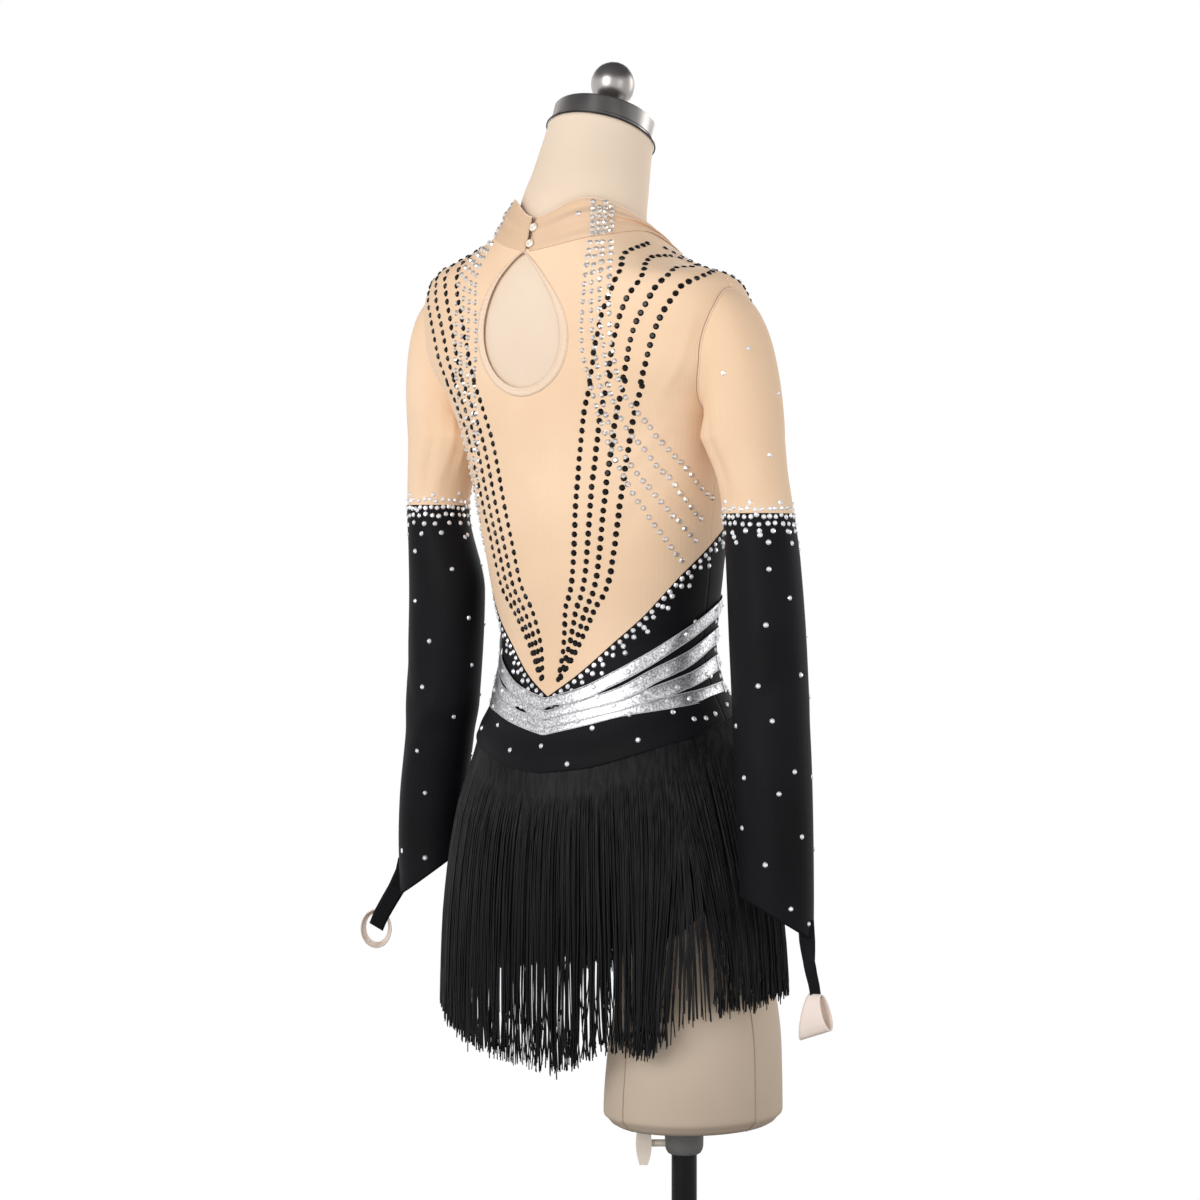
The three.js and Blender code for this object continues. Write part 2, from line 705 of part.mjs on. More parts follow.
// Directions of the finger loops: across them, and through them
const SQUARE_ON = [-0.766, -0.643, 0];
const THROUGH = [-0.643, 0.766, 0];
const LEFT_TAIL_ACROSS = [-0.66, -0.55, -0.51];
const TAILS = {
  right: [
    { x: -263.5, y: 32, z: 697, width: 16, across: SQUARE_ON },
    { x: -264.5, y: 31.5, z: 671, width: 12, across: [-0.9, -0.2, 0] },
    { x: -268, y: 31, z: 648, width: 11, across: SQUARE_ON },
    { x: -272, y: 30.5, z: 634, width: 10, across: SQUARE_ON },
  ],
  left: [
    { x: 259, y: 30, z: 712, width: 20, across: LEFT_TAIL_ACROSS },
    { x: 269, y: 32, z: 696, width: 18, across: LEFT_TAIL_ACROSS },
    { x: 274, y: 38, z: 683, width: 17.5, across: LEFT_TAIL_ACROSS },
    { x: 280, y: 44, z: 668, width: 17, across: LEFT_TAIL_ACROSS },
    { x: 281.5, y: 46.5, z: 661, width: 17, across: LEFT_TAIL_ACROSS },
  ],
};
const LOOPS = {
  right: {
    middle: [-272, 31, 614.6],
    halfHigh: 19,
    halfWide: 7,
    ribbon: 30,
    wide: [0, 1, 0],
    axis: [-1, 0, 0],
    slant: -0.35,
    cone: 0,
  },
  left: {
    middle: [289, 41, 654],
    halfHigh: 16,
    halfWide: 12,
    ribbon: 14,
    wide: SQUARE_ON,
    axis: THROUGH,
    slant: 0,
    cone: 3, // its near edge is the wider one
  },
};
const LOOP_THICK = 1.2;

function fingerLoop(loop) {
  const wide = new THREE.Vector3(...loop.wide);
  const axis = new THREE.Vector3(...loop.axis);
  return shell(
    16,
    1,
    (u, v, outer) => {
      const turn = u * 2 * Math.PI;
      const grow = (outer ? 0 : -LOOP_THICK) + loop.cone * v;
      const along = (v - 0.5) * loop.ribbon * (loop.slant ? 0.8 - 0.35 * Math.cos(turn) : 1);
      const p = new THREE.Vector3(...loop.middle);
      p.addScaledVector(wide, (loop.halfWide + grow) * Math.sin(turn));
      p.addScaledVector(axis, along);
      p.z += (loop.halfHigh + grow) * Math.cos(turn);
      p.z -= loop.slant * along * (1 - Math.cos(turn)) * 0.5;
      return p;
    },
    true,
  );
}

// Collar: from the neckline up to a tilted edge, dipping at the closed back
function collarPoint(u, v, out) {
  const gap = 0.9 * deg; // half of the opening at the closed back
  const phi = gap + u * (2 * Math.PI - 2 * gap);
  const around = fromBack(phi);
  const foot = onBody(phi, byAngle(NECKLINE, "z", around) + 2 * SEAM, out);
  const dip = COLLAR.backDip * Math.exp(-((around / (COLLAR.dipAngle * deg)) ** 2));
  const radius = COLLAR.radius + out;
  const reach = (Math.cos(phi) > 0 ? COLLAR.radius : COLLAR.frontRadius) + out;
  const top = new THREE.Vector3(-radius * Math.sin(phi), COLLAR.middleY + reach * Math.cos(phi), 0);
  top.z = COLLAR.topAtMiddle + COLLAR.slope * (top.y - COLLAR.middleY) - dip;
  const skin = onBody(phi, top.z, out);
  const span = (p) => Math.hypot(p.x, p.y - COLLAR.middleY);
  if (span(skin) > span(top)) top.copy(skin);
  const p = foot.lerp(top, v);
  const puff = COLLAR.fold * Math.sin(3 * Math.PI * v) * Math.sin(Math.PI * v);
  p.x -= puff * Math.sin(phi);
  p.y += puff * Math.cos(phi);
  return p;
}
const collar = () => shell(20, 4, (u, v, outer) => collarPoint(u, v, outer ? 0.4 : 0.4 - CLOTH));

function closureButton(v) {
  const button = new THREE.LatheGeometry(
    [[0, 0], [4, 0], [4, 1.4], [2.6, 2.6], [0, 2.9]].map(([r, h]) => new THREE.Vector2(r, h)),
    12,
  );
  const seat = collarPoint(0, v, 0.4 + 0.45);
  const up = collarPoint(0, Math.min(1, v + 0.1), 0.4).sub(collarPoint(0, v - 0.1, 0.4));
  button.rotateX(Math.atan2(up.z, up.y) - Math.PI / 2);
  button.translate(0, seat.y + 0.3, seat.z);
  return button;
}

// Dress form
const FORM_HALF = 164; // its shoulders end flat inside the armholes

function formBody() {
  const low = [658, 668, 690, 720, 755, 790, 830, 862, 903, 955, 990, 1023, 1100, 1160];
  const levels = [...low, ...PANEL_LEVELS.slice(1), 1350, 1364, 1378, 1390];
  const sides = 24;
  const offset = (z) => -(CLOTH + FORM_GAP) - 14 * (1 - smooth(660, 750, z)) - 2 * smooth(1330, 1350, z);
  const rings = levels.map((z) =>
    Array.from({ length: sides }, (_, i) => onBody((i / sides) * 2 * Math.PI, z, offset(z))),
  );
  for (const ring of rings) for (const p of ring) p.x = Math.max(-FORM_HALF, Math.min(FORM_HALF, p.x));
  const up = new THREE.Vector3(0, -Math.sin(NECK.tilt), Math.cos(NECK.tilt));
  const over = new THREE.Vector3(0, Math.cos(NECK.tilt), Math.sin(NECK.tilt));
  const top = new THREE.Vector3(...NECK.top);
  for (const drop of [30, 0])
    rings.push(
      Array.from({ length: sides }, (_, i) => {
        const phi = (i / sides) * 2 * Math.PI;
        return top
          .clone()
          .addScaledVector(up, -drop)
          .add(new THREE.Vector3(-NECK.radius * Math.sin(phi), 0, 0))
          .addScaledVector(over, NECK.radius * Math.cos(phi));
      }),
    );
  const stump = STUMP.rows.map(([z, x, y, halfBreadth, halfDepth]) =>
    Array.from({ length: 24 }, (_, i) => {
      const phi = (i / 24) * 2 * Math.PI;
      return new THREE.Vector3(x - halfBreadth * Math.sin(phi), y + halfDepth * Math.cos(phi), z);
    }),
  );
  const boreRadius = POLE.radius + POLE.boreGap;
  const bore = new THREE.CylinderGeometry(boreRadius, boreRadius, POLE.boreTop, 24);
  bore.rotateX(Math.PI / 2);
  bore.translate(-WAIST_OFFSET[0], -WAIST_OFFSET[1], POLE.boreTop / 2);
  const solid = toSolid(leaned(stack(rings))).add(toSolid(stack(stump))).subtract(toSolid(bore));
  return toGeometry(solid);
}

// Turned part from (radius, height) rows, standing along Z
function turned(rows, sides = 28) {
  const lathe = new THREE.LatheGeometry(rows.map(([r, h]) => new THREE.Vector2(r, h)), sides);
  lathe.rotateX(Math.PI / 2);
  return lathe;
}

function onNeck(geometry, along) {
  geometry.rotateX(NECK.tilt);
  const up = new THREE.Vector3(0, -Math.sin(NECK.tilt), Math.cos(NECK.tilt)).multiplyScalar(along);
  geometry.translate(NECK.top[0] + up.x, NECK.top[1] + up.y, NECK.top[2] + up.z);
  return geometry;
}

function neckCap() {
  const { radius, height, dome, edge } = CAP;
  const rows = [[0, 0], [radius, 0], [radius, height - edge], [radius - edge, height], [0, height + dome]];
  return onNeck(turned(rows), SEAM);
}

function neckKnob() {
  const rows = [[0, 0], [KNOB.stem, 0], [KNOB.stem, KNOB.stemHeight * 0.5]];
  const seat = 0.86; // the ball is cut off at this share of half a turn, where the stem meets it
  const middle = KNOB.stemHeight + KNOB.radius * seat;
  const steps = 8;
  for (let k = 1; k <= steps; k++) {
    const turn = Math.PI * seat * (1 - k / steps);
    const radius = k === steps ? 0 : KNOB.radius * Math.sin(turn);
    rows.push([radius, middle + KNOB.radius * Math.cos(turn)]);
  }
  return onNeck(turned(rows, 16), CAP.height + CAP.dome + 2 * SEAM);
}

// Stand
function poleSolid() {
  const bottom = BASE.height + SEAM;
  return turned([[0, bottom], [POLE.radius, bottom], [POLE.radius, POLE.top], [0, POLE.top]], 24);
}

function basePlate() {
  const { radius, height, rim } = BASE;
  return turned([[0, 0], [radius, 0], [radius, height - rim], [radius - rim, height], [0, height]], 36);
}

function poleCollar() {
  const { radius, top, bottom, round, flare } = POLE_COLLAR;
  const inner = POLE.radius + POLE.boreGap;
  const rows = [[inner, bottom], [radius - round, bottom], [radius - flare, bottom + round], [radius, top]];
  const hole = clampRod(LEVER.shank + SHANK_GAP, POLE.radius, 2 * radius);
  hole.applyQuaternion(towardsLever);
  hole.translate(0, 0, LEVER.z);
  return toGeometry(toSolid(turned([...rows, [inner, top], rows[0]], 24)).subtract(toSolid(hole)));
}

// Along X first, then turned to where the photograph shows it
const towardsLever = new THREE.Quaternion().setFromUnitVectors(
  new THREE.Vector3(1, 0, 0),
  new THREE.Vector3(...SQUARE_ON).negate().normalize(),
);

function clampRod(radius, start, end) {
  const rod = new THREE.CylinderGeometry(radius, radius, end - start, 12);
  rod.rotateZ(Math.PI / 2);
  rod.translate((start + end) / 2, 0, 0);
  return rod;
}

function clampScrew() {
  const { shank, start, end, wide, deep, tip, halfHeight } = LEVER;
  const wing = new THREE.Shape();
  wing.moveTo(0, 0);
  wing.quadraticCurveTo(0, -halfHeight * 0.5, tip * 0.5, -halfHeight);
  wing.lineTo(tip * 1.5, -halfHeight);
  wing.quadraticCurveTo(wide * 1.2, 0, tip * 1.5, halfHeight);
  wing.lineTo(tip * 0.5, halfHeight);
  wing.quadraticCurveTo(0, halfHeight * 0.5, 0, 0);
  const paddle = new THREE.ExtrudeGeometry(wing, { depth: deep, bevelEnabled: false, curveSegments: 5 });
  paddle.rotateX(Math.PI / 2);
  paddle.translate(end - 4, deep / 2, 0);
  const geometry = toGeometry(toSolid(clampRod(shank, start, end)).add(toSolid(paddle)));
  geometry.applyQuaternion(towardsLever);
  geometry.translate(0, 0, LEVER.z);
  return geometry;
}

place("back_mesh_panel", leaned(toGeometry(toSolid(meshPanel(true)).subtract(keyholeCutter()))), NUDE);
place("front_mesh_panel", leaned(meshPanel(false)), NUDE);
place("back_bodice", leaned(bodice(true)), BLACK);
place("front_bodice", leaned(bodice(false)), BLACK);
place("crotch_gusset", gusset(), BLACK);
place("keyhole_binding", leaned(keyholeBinding()), NUDE);
for (const back of [true, false]) {
  const where = back ? "back" : "front";
  BAND_NAMES.forEach((name, i) => place(`${where}_band_${name}`, band(i, back), SILVER));
  place(`${where}_yoke`, yoke(back), BLACK);
  place(`${where}_fringe`, fringe(back), BLACK);
}
for (const where of ["right", "left"]) {
  place(`sleeve_mesh_${where}`, leaned(sleeveMesh(SLEEVES[where])), NUDE);
  place(`sleeve_black_${where}`, leaned(sleeveBlack(SLEEVES[where], ribbon(TAILS[where], CLOTH))), BLACK);
  place(`finger_loop_${where}`, fingerLoop(LOOPS[where]), NUDE);
}
place("collar", leaned(collar()), NUDE);
place("closure_button_low", leaned(closureButton(0.3)), CHROME);
place("closure_button_high", leaned(closureButton(0.75)), CHROME);
place("form_body", formBody(), FORM);
place("neck_cap", neckCap(), CHROME);
place("neck_knob", neckKnob(), CHROME);
place("pole_collar", poleCollar(), DARK, object);
place("clamp_screw", clampScrew(), FORM, object);
place("pole", poleSolid(), DARK, object);
place("base_plate", basePlate(), DARK, object);

export default object;
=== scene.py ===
# Looks of a figure skating dress on a limbless dress form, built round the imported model.
# Sizes are millimetres in the garment's own frame, which stands at PLACE in the row frame.
# The wearer faces -Y and the wearer's right is -X. Angles round the body count from the centre back.
import math
import random

import bmesh
import bpy
import numpy as np
from mathutils import Matrix, Vector
from mathutils.bvhtree import BVHTree


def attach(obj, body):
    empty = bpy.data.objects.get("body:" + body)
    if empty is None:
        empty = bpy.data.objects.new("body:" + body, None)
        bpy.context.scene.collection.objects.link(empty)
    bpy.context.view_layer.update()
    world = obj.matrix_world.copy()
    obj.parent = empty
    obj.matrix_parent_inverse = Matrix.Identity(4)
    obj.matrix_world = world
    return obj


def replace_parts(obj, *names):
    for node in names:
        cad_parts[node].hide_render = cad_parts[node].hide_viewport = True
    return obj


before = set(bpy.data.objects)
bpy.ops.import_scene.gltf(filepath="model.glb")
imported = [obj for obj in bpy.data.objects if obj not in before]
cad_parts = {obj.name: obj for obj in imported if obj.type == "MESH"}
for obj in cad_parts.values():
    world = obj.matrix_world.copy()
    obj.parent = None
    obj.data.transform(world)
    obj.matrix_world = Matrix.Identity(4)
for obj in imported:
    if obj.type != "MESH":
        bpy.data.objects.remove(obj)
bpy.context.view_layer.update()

MM = 0.001
PLACE = np.array([84.0, 10.0, 0.0])
LEAN = 0.065  # rise of the left shoulder for each mm out from the middle
DIP_X, DIP_SPREAD, DIP_DEPTH = -118, 40, 7  # hollow of the right shoulder
LEFT_FULLNESS_ROWS = [  # how far the left half stands out past the right, by height
    (1060, 0), (1150, 4), (1210, 10), (1270, 13), (1330, 11), (1365, 8), (1420, 0),
]
MIDDLE_START = -75  # x at which the fuller half begins
SEED = 11

# Camera, in millimetres of the row frame
AIM = Vector((93, 18, 1000))
CAMERA_DISTANCE = 2800
TOWARDS_CAMERA = Vector((-0.643, 0.766, 0)).normalized()
RIGHT_OF_CAMERA = Vector((-TOWARDS_CAMERA.y, TOWARDS_CAMERA.x, 0))
UP = Vector((0, 0, 1))
PHOTO_SIZE = 1200
LENS = 84
SENSOR = 36

# Torso by height: half breadth, reach to the back, reach to the front, middle, power
TORSO_ROWS = [
    (643, 140, 25, 22, 3, 2),
    (650, 150, 60, 52, 3, 2),
    (665, 160, 90, 76, 3, 2),
    (690, 166, 108, 90, 2, 2),
    (720, 170, 117, 97, 2, 2),
    (755, 172, 116, 98, 2, 2),
    (790, 166, 113, 98, 2, 2),
    (830, 157, 108, 95, 2, 2),
    (862, 148, 103, 92, 2, 2),
    (903, 132, 95, 88, 3, 2),
    (955, 119, 87, 84, 5, 2),
    (1023, 130, 95, 88, 10, 2),
    (1100, 140, 98, 98, 16, 2.1),
    (1160, 150, 98, 104, 20, 2.2),
    (1195, 160, 93, 104, 28, 2.3),
    (1240, 180, 88, 100, 34, 2.5),
    (1285, 184, 86, 93, 36, 2.5),
    (1312, 176, 84, 86, 37, 2.4),
    (1322, 168, 82, 82, 37, 2.3),
    (1337, 131, 79, 77, 37, 2.2),
    (1352, 97, 76, 69, 38, 2.1),
    (1367, 74, 71, 63, 39, 2),
    (1378, 68, 67, 64, 40, 2),
    (1390, 67, 65, 66, 40, 2),
]
BUST_X, BUST_Z, BUST_DEPTH, BUST_SPREAD = 82, 1150, 20, 48
ARMHOLE_Z, ARMHOLE_HALF, ARMHOLE_BACK, ARMHOLE_FRONT = 1243, 65, 41, 37

# Heights by angle from the centre back, in degrees
NECKLINE_ROWS = [(0, 1340), (40, 1356), (90, 1367), (140, 1345), (180, 1318)]
BLACK_EDGE_ROWS = [
    (0, 906), (14, 926), (34, 959), (50, 985), (60, 1005), (71, 1026), (90, 1053),
    (120, 1092), (150, 1152), (180, 1112),
]
LEG_LINE_ROWS = [
    (0, 643.6), (8, 643.6), (15, 655), (30, 668), (52, 679), (66, 704), (73, 728),
    (90, 780), (120, 772), (150, 705), (165, 664), (172, 643.6), (180, 643.6),
]
BAND_ROWS = [  # middles of the four silver bands from the top one down, then their half widths
    (0, 899, 889.3, 880.6, 872, 5.2, 3.9, 3.9, 3.9),
    (19, 911, 900, 890.6, 882.2, 5.6, 4.5, 4, 3.8),
    (34, 924.5, 909, 898.4, 890.6, 7, 5.8, 3.9, 3.5),
    (53, 943.7, 926.1, 911.3, 899, 7.2, 7.2, 5.6, 5.6),
    (73, 964.3, 940.9, 921.7, 905.4, 7.4, 7.7, 7, 6.5),
    (104, 990.5, 963.4, 938, 913.3, 7.5, 7.8, 7.2, 6.5),
    (130, 999, 968, 941, 914, 7.5, 7.8, 7.2, 6.5),
    (180, 1002, 970, 944, 918, 7.5, 7.8, 7.2, 6.5),
]
YOKE_ROWS = [
    (0, 832), (8, 834), (20, 838), (34, 847), (54, 861), (67, 868), (90, 882), (130, 893), (180, 899),
]
FRINGE_ROWS = [  # height: half breadth, reach to the back, reach to the front
    (560, 198, 128, 137),
    (600, 197, 128, 135),
    (670, 194, 127, 128),
    (720, 188, 125.5, 119),
    (760, 181, 122.5, 111),
    (800, 171, 118, 105),
    (840, 159, 111.5, 99.5),
    (870, 149, 105.5, 95.5),
    (905, 135, 98.5, 92),
]
FRINGE_HEM_ROWS = [  # seen from behind: negative angles are the wearer's left
    (-180, 606), (-130, 614), (-75, 600), (-50, 584), (-35, 570), (-20, 560), (0, 549), (10, 547),
    (21, 562), (26, 573), (32, 569), (38, 567), (48, 584), (57, 600), (70, 609), (90, 615),
    (130, 618), (180, 606),
]
SPLIT_ANGLE = 56.8  # where the fringe parts over the wearer's right hip
BUNCH = 2.7  # degrees round the hem that one bunch of strands takes
STRANDS, GAP_STRANDS = 1150, 34  # on each half of the yoke, and across the parting
STUMP_ROWS = [  # height: middle x, middle y, half breadth, half depth
    (488, -93, -13, 76, 86),
    (491, -93, -13, 81, 91),
    (498, -93, -13, 84, 94),
    (560, -95, -13, 81, 92),
    (610, -98, -11, 73, 88),
    (655, -97, -8, 66, 74),
    (700, -90, -8, 60, 70),
    (780, -86, -8, 52, 60),
]
STUMP_TOP = 770
BORE_RADIUS, BORE_TOP = 14.5, 846  # room for the pole when the form is at its lowest
SLEEVE_ROWS = {  # height: middle x, middle y, half width, half depth
    "right": [
        (660, 231, 35, 34, 31), (725, 230, 35, 35.5, 32), (858, 225, 35, 37, 34), (953, 220, 35, 37, 34),
        (1038, 214, 35, 35.5, 33), (1075, 209.5, 35, 34.5, 32), (1115, 203, 35, 34, 33),
        (1160, 191, 35, 40, 38),
    ],
    "left": [
        (660, 231, 16, 34, 31), (740, 230.5, 18, 35.5, 33), (790, 225, 22, 36, 33), (860, 208, 30, 36, 34),
        (895, 201, 33, 39, 36), (1010, 193, 35, 41, 36), (1090, 204, 35, 31, 33), (1160, 190, 35, 40, 38),
    ],
}
SLEEVE_SIDE = {"right": -1, "left": 1}
SLEEVE_JOIN = {"right": 1082, "left": 1096}
SLEEVE_HEM = {"right": (722, 41, -40), "left": (742, 50, 40)}  # inner height, drop, turn of the lowest place
CAP_END = 1160
COLLAR_RADIUS, COLLAR_FRONT, COLLAR_TOP, COLLAR_SLOPE = 67, 69.5, 1378, 0.354
COLLAR_DIP, COLLAR_DIP_ANGLE = 30, 30
KEYHOLE_TOP, KEYHOLE_BOTTOM, KEYHOLE_HALF, KEYHOLE_POINT = 1338, 1205, 45, 0.6
KEYHOLE_X, KEYHOLE_MIDDLE = 5, 1262
NECK_TOP = np.array([5.5, 11, 1462])
NECK_TILT = math.radians(19.5)
NECK_RADIUS = 54


def cubic(t, start, out, end, into):
    """A place t along a smooth cubic from start, in the direction out, to end, in the direction into."""
    return (
        start * (2 * t**3 - 3 * t**2 + 1)
        + out * (t**3 - 2 * t**2 + t)
        + end * (3 * t**2 - 2 * t**3)
        + into * (t**3 - t**2)
    )


def profile(points):
    """A smooth curve through (x, y) points with no overshoot, as a function that takes arrays."""
    spans = list(zip(points, points[1:]))
    slopes = [(y1 - y0) / (x1 - x0) for (x0, y0), (x1, y1) in spans]
    tangents = [slopes[0]]
    for before, after in zip(slopes, slopes[1:]):
        tangents.append(0 if before * after <= 0 else 2 * before * after / (before + after))
    tangents.append(slopes[-1])
    steps = 40
    fine = []
    for k, ((x0, y0), (x1, y1)) in enumerate(spans):
        width = x1 - x0
        for t in (step / steps for step in range(steps)):
            fine.append((x0 + t * width, cubic(t, y0, width * tangents[k], y1, width * tangents[k + 1])))
    fine.append(points[-1])
    fine_x, fine_y = zip(*fine)
    return lambda x: np.interp(x, fine_x, fine_y)


def columns(rows):
    """One profile for each column after the first."""
    return [profile([(row[0], row[k]) for row in rows]) for k in range(1, len(rows[0]))]


HALF_BREADTH, BACK_REACH, FRONT_REACH, MIDDLE_Y, POWER = columns(TORSO_ROWS)
NECKLINE = profile(NECKLINE_ROWS)
BLACK_EDGE = profile(BLACK_EDGE_ROWS)
LEG_LINE = profile(LEG_LINE_ROWS)
BAND_MIDDLES, BAND_HALVES = columns(BAND_ROWS)[:4], columns(BAND_ROWS)[4:]
LEFT_FULLNESS = profile(LEFT_FULLNESS_ROWS)
YOKE_BOTTOM = profile(YOKE_ROWS)
FRINGE_BREADTH, FRINGE_BACK, FRINGE_FRONT = columns(FRINGE_ROWS)
FRINGE_HEM = profile(FRINGE_HEM_ROWS)
STUMP_X, STUMP_Y, STUMP_BREADTH, STUMP_DEPTH = columns(STUMP_ROWS)
SLEEVES = {side: columns(rows) for side, rows in SLEEVE_ROWS.items()}


def smooth(low, high, x):
    t = np.clip((x - low) / (high - low), 0, 1)
    return t * t * (3 - 2 * t)


def signed_power(value, power):
    return np.sign(value) * np.abs(value) ** power


def points_of(x, y, z):
    return np.stack(np.broadcast_arrays(x, y, z), axis=-1).astype(float)


def unit(vectors):
    return vectors / np.maximum(np.linalg.norm(vectors, axis=-1, keepdims=True), 1e-9)


def lean_by(p):
    """How far each place moves: the left shoulder is higher, and the left half fuller."""
    x, z = p[..., 0], p[..., 2]
    amount = smooth(1050, 1250, z) * (1 - smooth(1385, 1440, z))
    hollow = np.exp(-(((x - DIP_X) / DIP_SPREAD) ** 2)) * smooth(1250, 1330, z)
    out = LEFT_FULLNESS(z) * smooth(MIDDLE_START, 0, x)
    return points_of(out, 0, (LEAN * x - DIP_DEPTH * hollow) * amount)


def leaned(p):
    return p + lean_by(p)


def upright(p):
    """The place that leans to p."""
    before = p
    for _ in range(4):
        before = p - lean_by(before)
    return before


def torso(phi, z):
    """Points of the torso at angles in radians and heights."""
    power = 2 / POWER(z)
    c = np.cos(phi)
    reach = np.where(c > 0, BACK_REACH(z), FRONT_REACH(z))
    x = -HALF_BREADTH(z) * signed_power(np.sin(phi), power)
    y = MIDDLE_Y(z) + reach * signed_power(c, power)
    away = ((np.abs(x) - BUST_X) ** 2 + (z - BUST_Z) ** 2) / (2 * BUST_SPREAD**2)
    y = y - np.where(c < 0, BUST_DEPTH * np.exp(-away) * smooth(0, 0.35, -c), 0)
    return points_of(x, y, z)


def on_body(phi, z, out=0.0):
    """The same points moved out along the surface."""
    turn, rise = 0.02, 0.7
    round_it = torso(phi + turn, z) - torso(phi - turn, z)
    up = torso(phi, z + rise) - torso(phi, z - rise)
    normal = unit(np.cross(round_it, up))
    return torso(phi, z) + normal * np.asarray(out)[..., None]


def half_round(u, back):
    """Angles over the back half, or the front one, for u from 0 to 1."""
    return (0 if back else np.pi) + (2 * u - 1) * np.pi / 2


def from_back(phi):
    """Angle from the centre back, in degrees from 0 to 180."""
    return np.degrees(np.abs(np.arctan2(np.sin(phi), np.cos(phi))))


def back_angle(x, z):
    """Angle on the back of a place x across and z up."""
    part = np.minimum(1, np.abs(x) / HALF_BREADTH(z))
    return -np.sign(x) * np.arcsin(part ** (POWER(z) / 2))


def side_angle(z, back):
    """Angle of a panel's side edge: the side seam, cut back round the armhole."""
    t = np.clip((z - ARMHOLE_Z) / ARMHOLE_HALF, -1, 1)
    depth = (ARMHOLE_BACK if back else ARMHOLE_FRONT) * np.sqrt(1 - t * t)
    part = depth / (BACK_REACH(z) if back else FRONT_REACH(z))
    return np.arccos(part ** (POWER(z) / 2))


FOLDS = {  # from angle and height to angle and height, half width, and height of the ridge or trough
    "back_mesh": [
        (62, 1180, 20, 1090, 5, 0.9), (66, 1140, 30, 1040, 6, -0.8), (-62, 1176, -24, 1100, 5, 0.8),
        (-70, 1130, -32, 1050, 6, -0.9), (64, 1290, 52, 1190, 3, 0.9), (-64, 1296, -50, 1200, 3, 0.8),
        (8, 1180, 3, 980, 7, 0.5),
    ],
    "front_mesh": [
        (-60, 1190, -18, 1140, 5, 1.0), (62, 1196, 20, 1150, 5, 0.9), (-40, 1300, -22, 1200, 6, -0.8),
        (42, 1310, 26, 1190, 6, -0.9),
    ],
    "bodice": [
        (-80, 1005, -30, 950, 6, 0.7), (80, 1000, 40, 955, 6, 0.7), (-70, 760, -20, 690, 8, 0.8),
        (72, 740, 24, 680, 8, 0.8),
    ],
    "sleeve": [
        (150, 1215, 128, 1100, 9, 2.0), (118, 1200, 104, 1090, 8, -1.4), (95, 1190, 86, 1085, 9, 1.0),
        (-140, 1210, -120, 1100, 10, 1.8), (172, 1235, 160, 1120, 5, 1.6), (139, 1200, 132, 1120, 5, -1.2),
        (60, 1000, 100, 900, 14, 1.2), (20, 960, 85, 880, 12, -1.0), (130, 930, 60, 800, 14, 1.2),
        (-60, 980, -110, 890, 14, 1.3), (-30, 900, -100, 800, 14, -1.1),
    ],
}


def folds(cloth_name, turn, z):
    """Soft ridges and troughs of a cloth, by angle from its middle and height."""
    across = np.degrees(np.arctan2(np.sin(turn), np.cos(turn)))
    total = 0
    for start, low, end, high, width, depth in FOLDS[cloth_name]:
        dx, dz = end - start, high - low
        length = math.hypot(dx, dz)
        t = ((across - start) * dx + (z - low) * dz) / length**2
        off = ((across - start) * dz - (z - low) * dx) / length
        total = total + depth * np.exp(-((off / width) ** 2)) * np.clip(4 * t * (1 - t), 0, 1)
    return total


# Materials

def shader_of(made):
    return made.node_tree.nodes["Principled BSDF"]


def new_material(name, colour, rough, metallic=0.0, specular=0.5, sheen=None):
    """A plain finish. The sheen is its weight, roughness and tint."""
    made = bpy.data.materials.new(name)
    made.use_nodes = True
    values = {
        "Base Color": (*colour, 1), "Roughness": rough, "Metallic": metallic, "Specular IOR Level": specular,
    }
    if sheen:
        values.update(zip(("Sheen Weight", "Sheen Roughness", "Sheen Tint"), sheen))
    for socket, value in values.items():
        shader_of(made).inputs[socket].default_value = value
    return made


def add_node(made, kind, **sockets):
    node = made.node_tree.nodes.new(kind)
    for name, value in sockets.items():
        node.inputs[name.replace("_", " ")].default_value = value
    return node


def link(made, source, output, target, socket):
    made.node_tree.links.new(source.outputs[output], target.inputs[socket])


def placed(made, texture, stretch=(1, 1, 1), output="Object"):
    """Sets a texture on the object's own places or its UV map, squeezed by stretch."""
    mapping = add_node(made, "ShaderNodeMapping", Scale=stretch)
    link(made, add_node(made, "ShaderNodeTexCoord"), output, mapping, "Vector")
    link(made, mapping, "Vector", texture, "Vector")
    return texture


def noise(made, scale, detail=2.0, stretch=(1, 1, 1)):
    return placed(made, add_node(made, "ShaderNodeTexNoise", Scale=scale, Detail=detail), stretch)


def two_tones(made, places, tones):
    """A ramp from one tone to the other, between two places."""
    ramp = add_node(made, "ShaderNodeValToRGB")
    for stop, place, tone in zip(ramp.color_ramp.elements, places, tones):
        stop.position = place
        stop.color = (*tone, 1)
    return ramp


def mottle(made, scale, dark, light, detail=4.0, stretch=(1, 1, 1)):
    """Base colour that drifts between two tones."""
    ramp = two_tones(made, (0.35, 0.65), (dark, light))
    link(made, noise(made, scale, detail, stretch), "Fac", ramp, "Fac")
    link(made, ramp, "Color", shader_of(made), "Base Color")


def relief(made, textures, strength, distance):
    """Bump from textures on top of each other."""
    before = None
    for texture in textures:
        bump = add_node(made, "ShaderNodeBump", Strength=strength, Distance=distance)
        link(made, texture, "Fac", bump, "Height")
        if before:
            link(made, before, "Normal", bump, "Normal")
        before = bump
    link(made, before, "Normal", shader_of(made), "Normal")


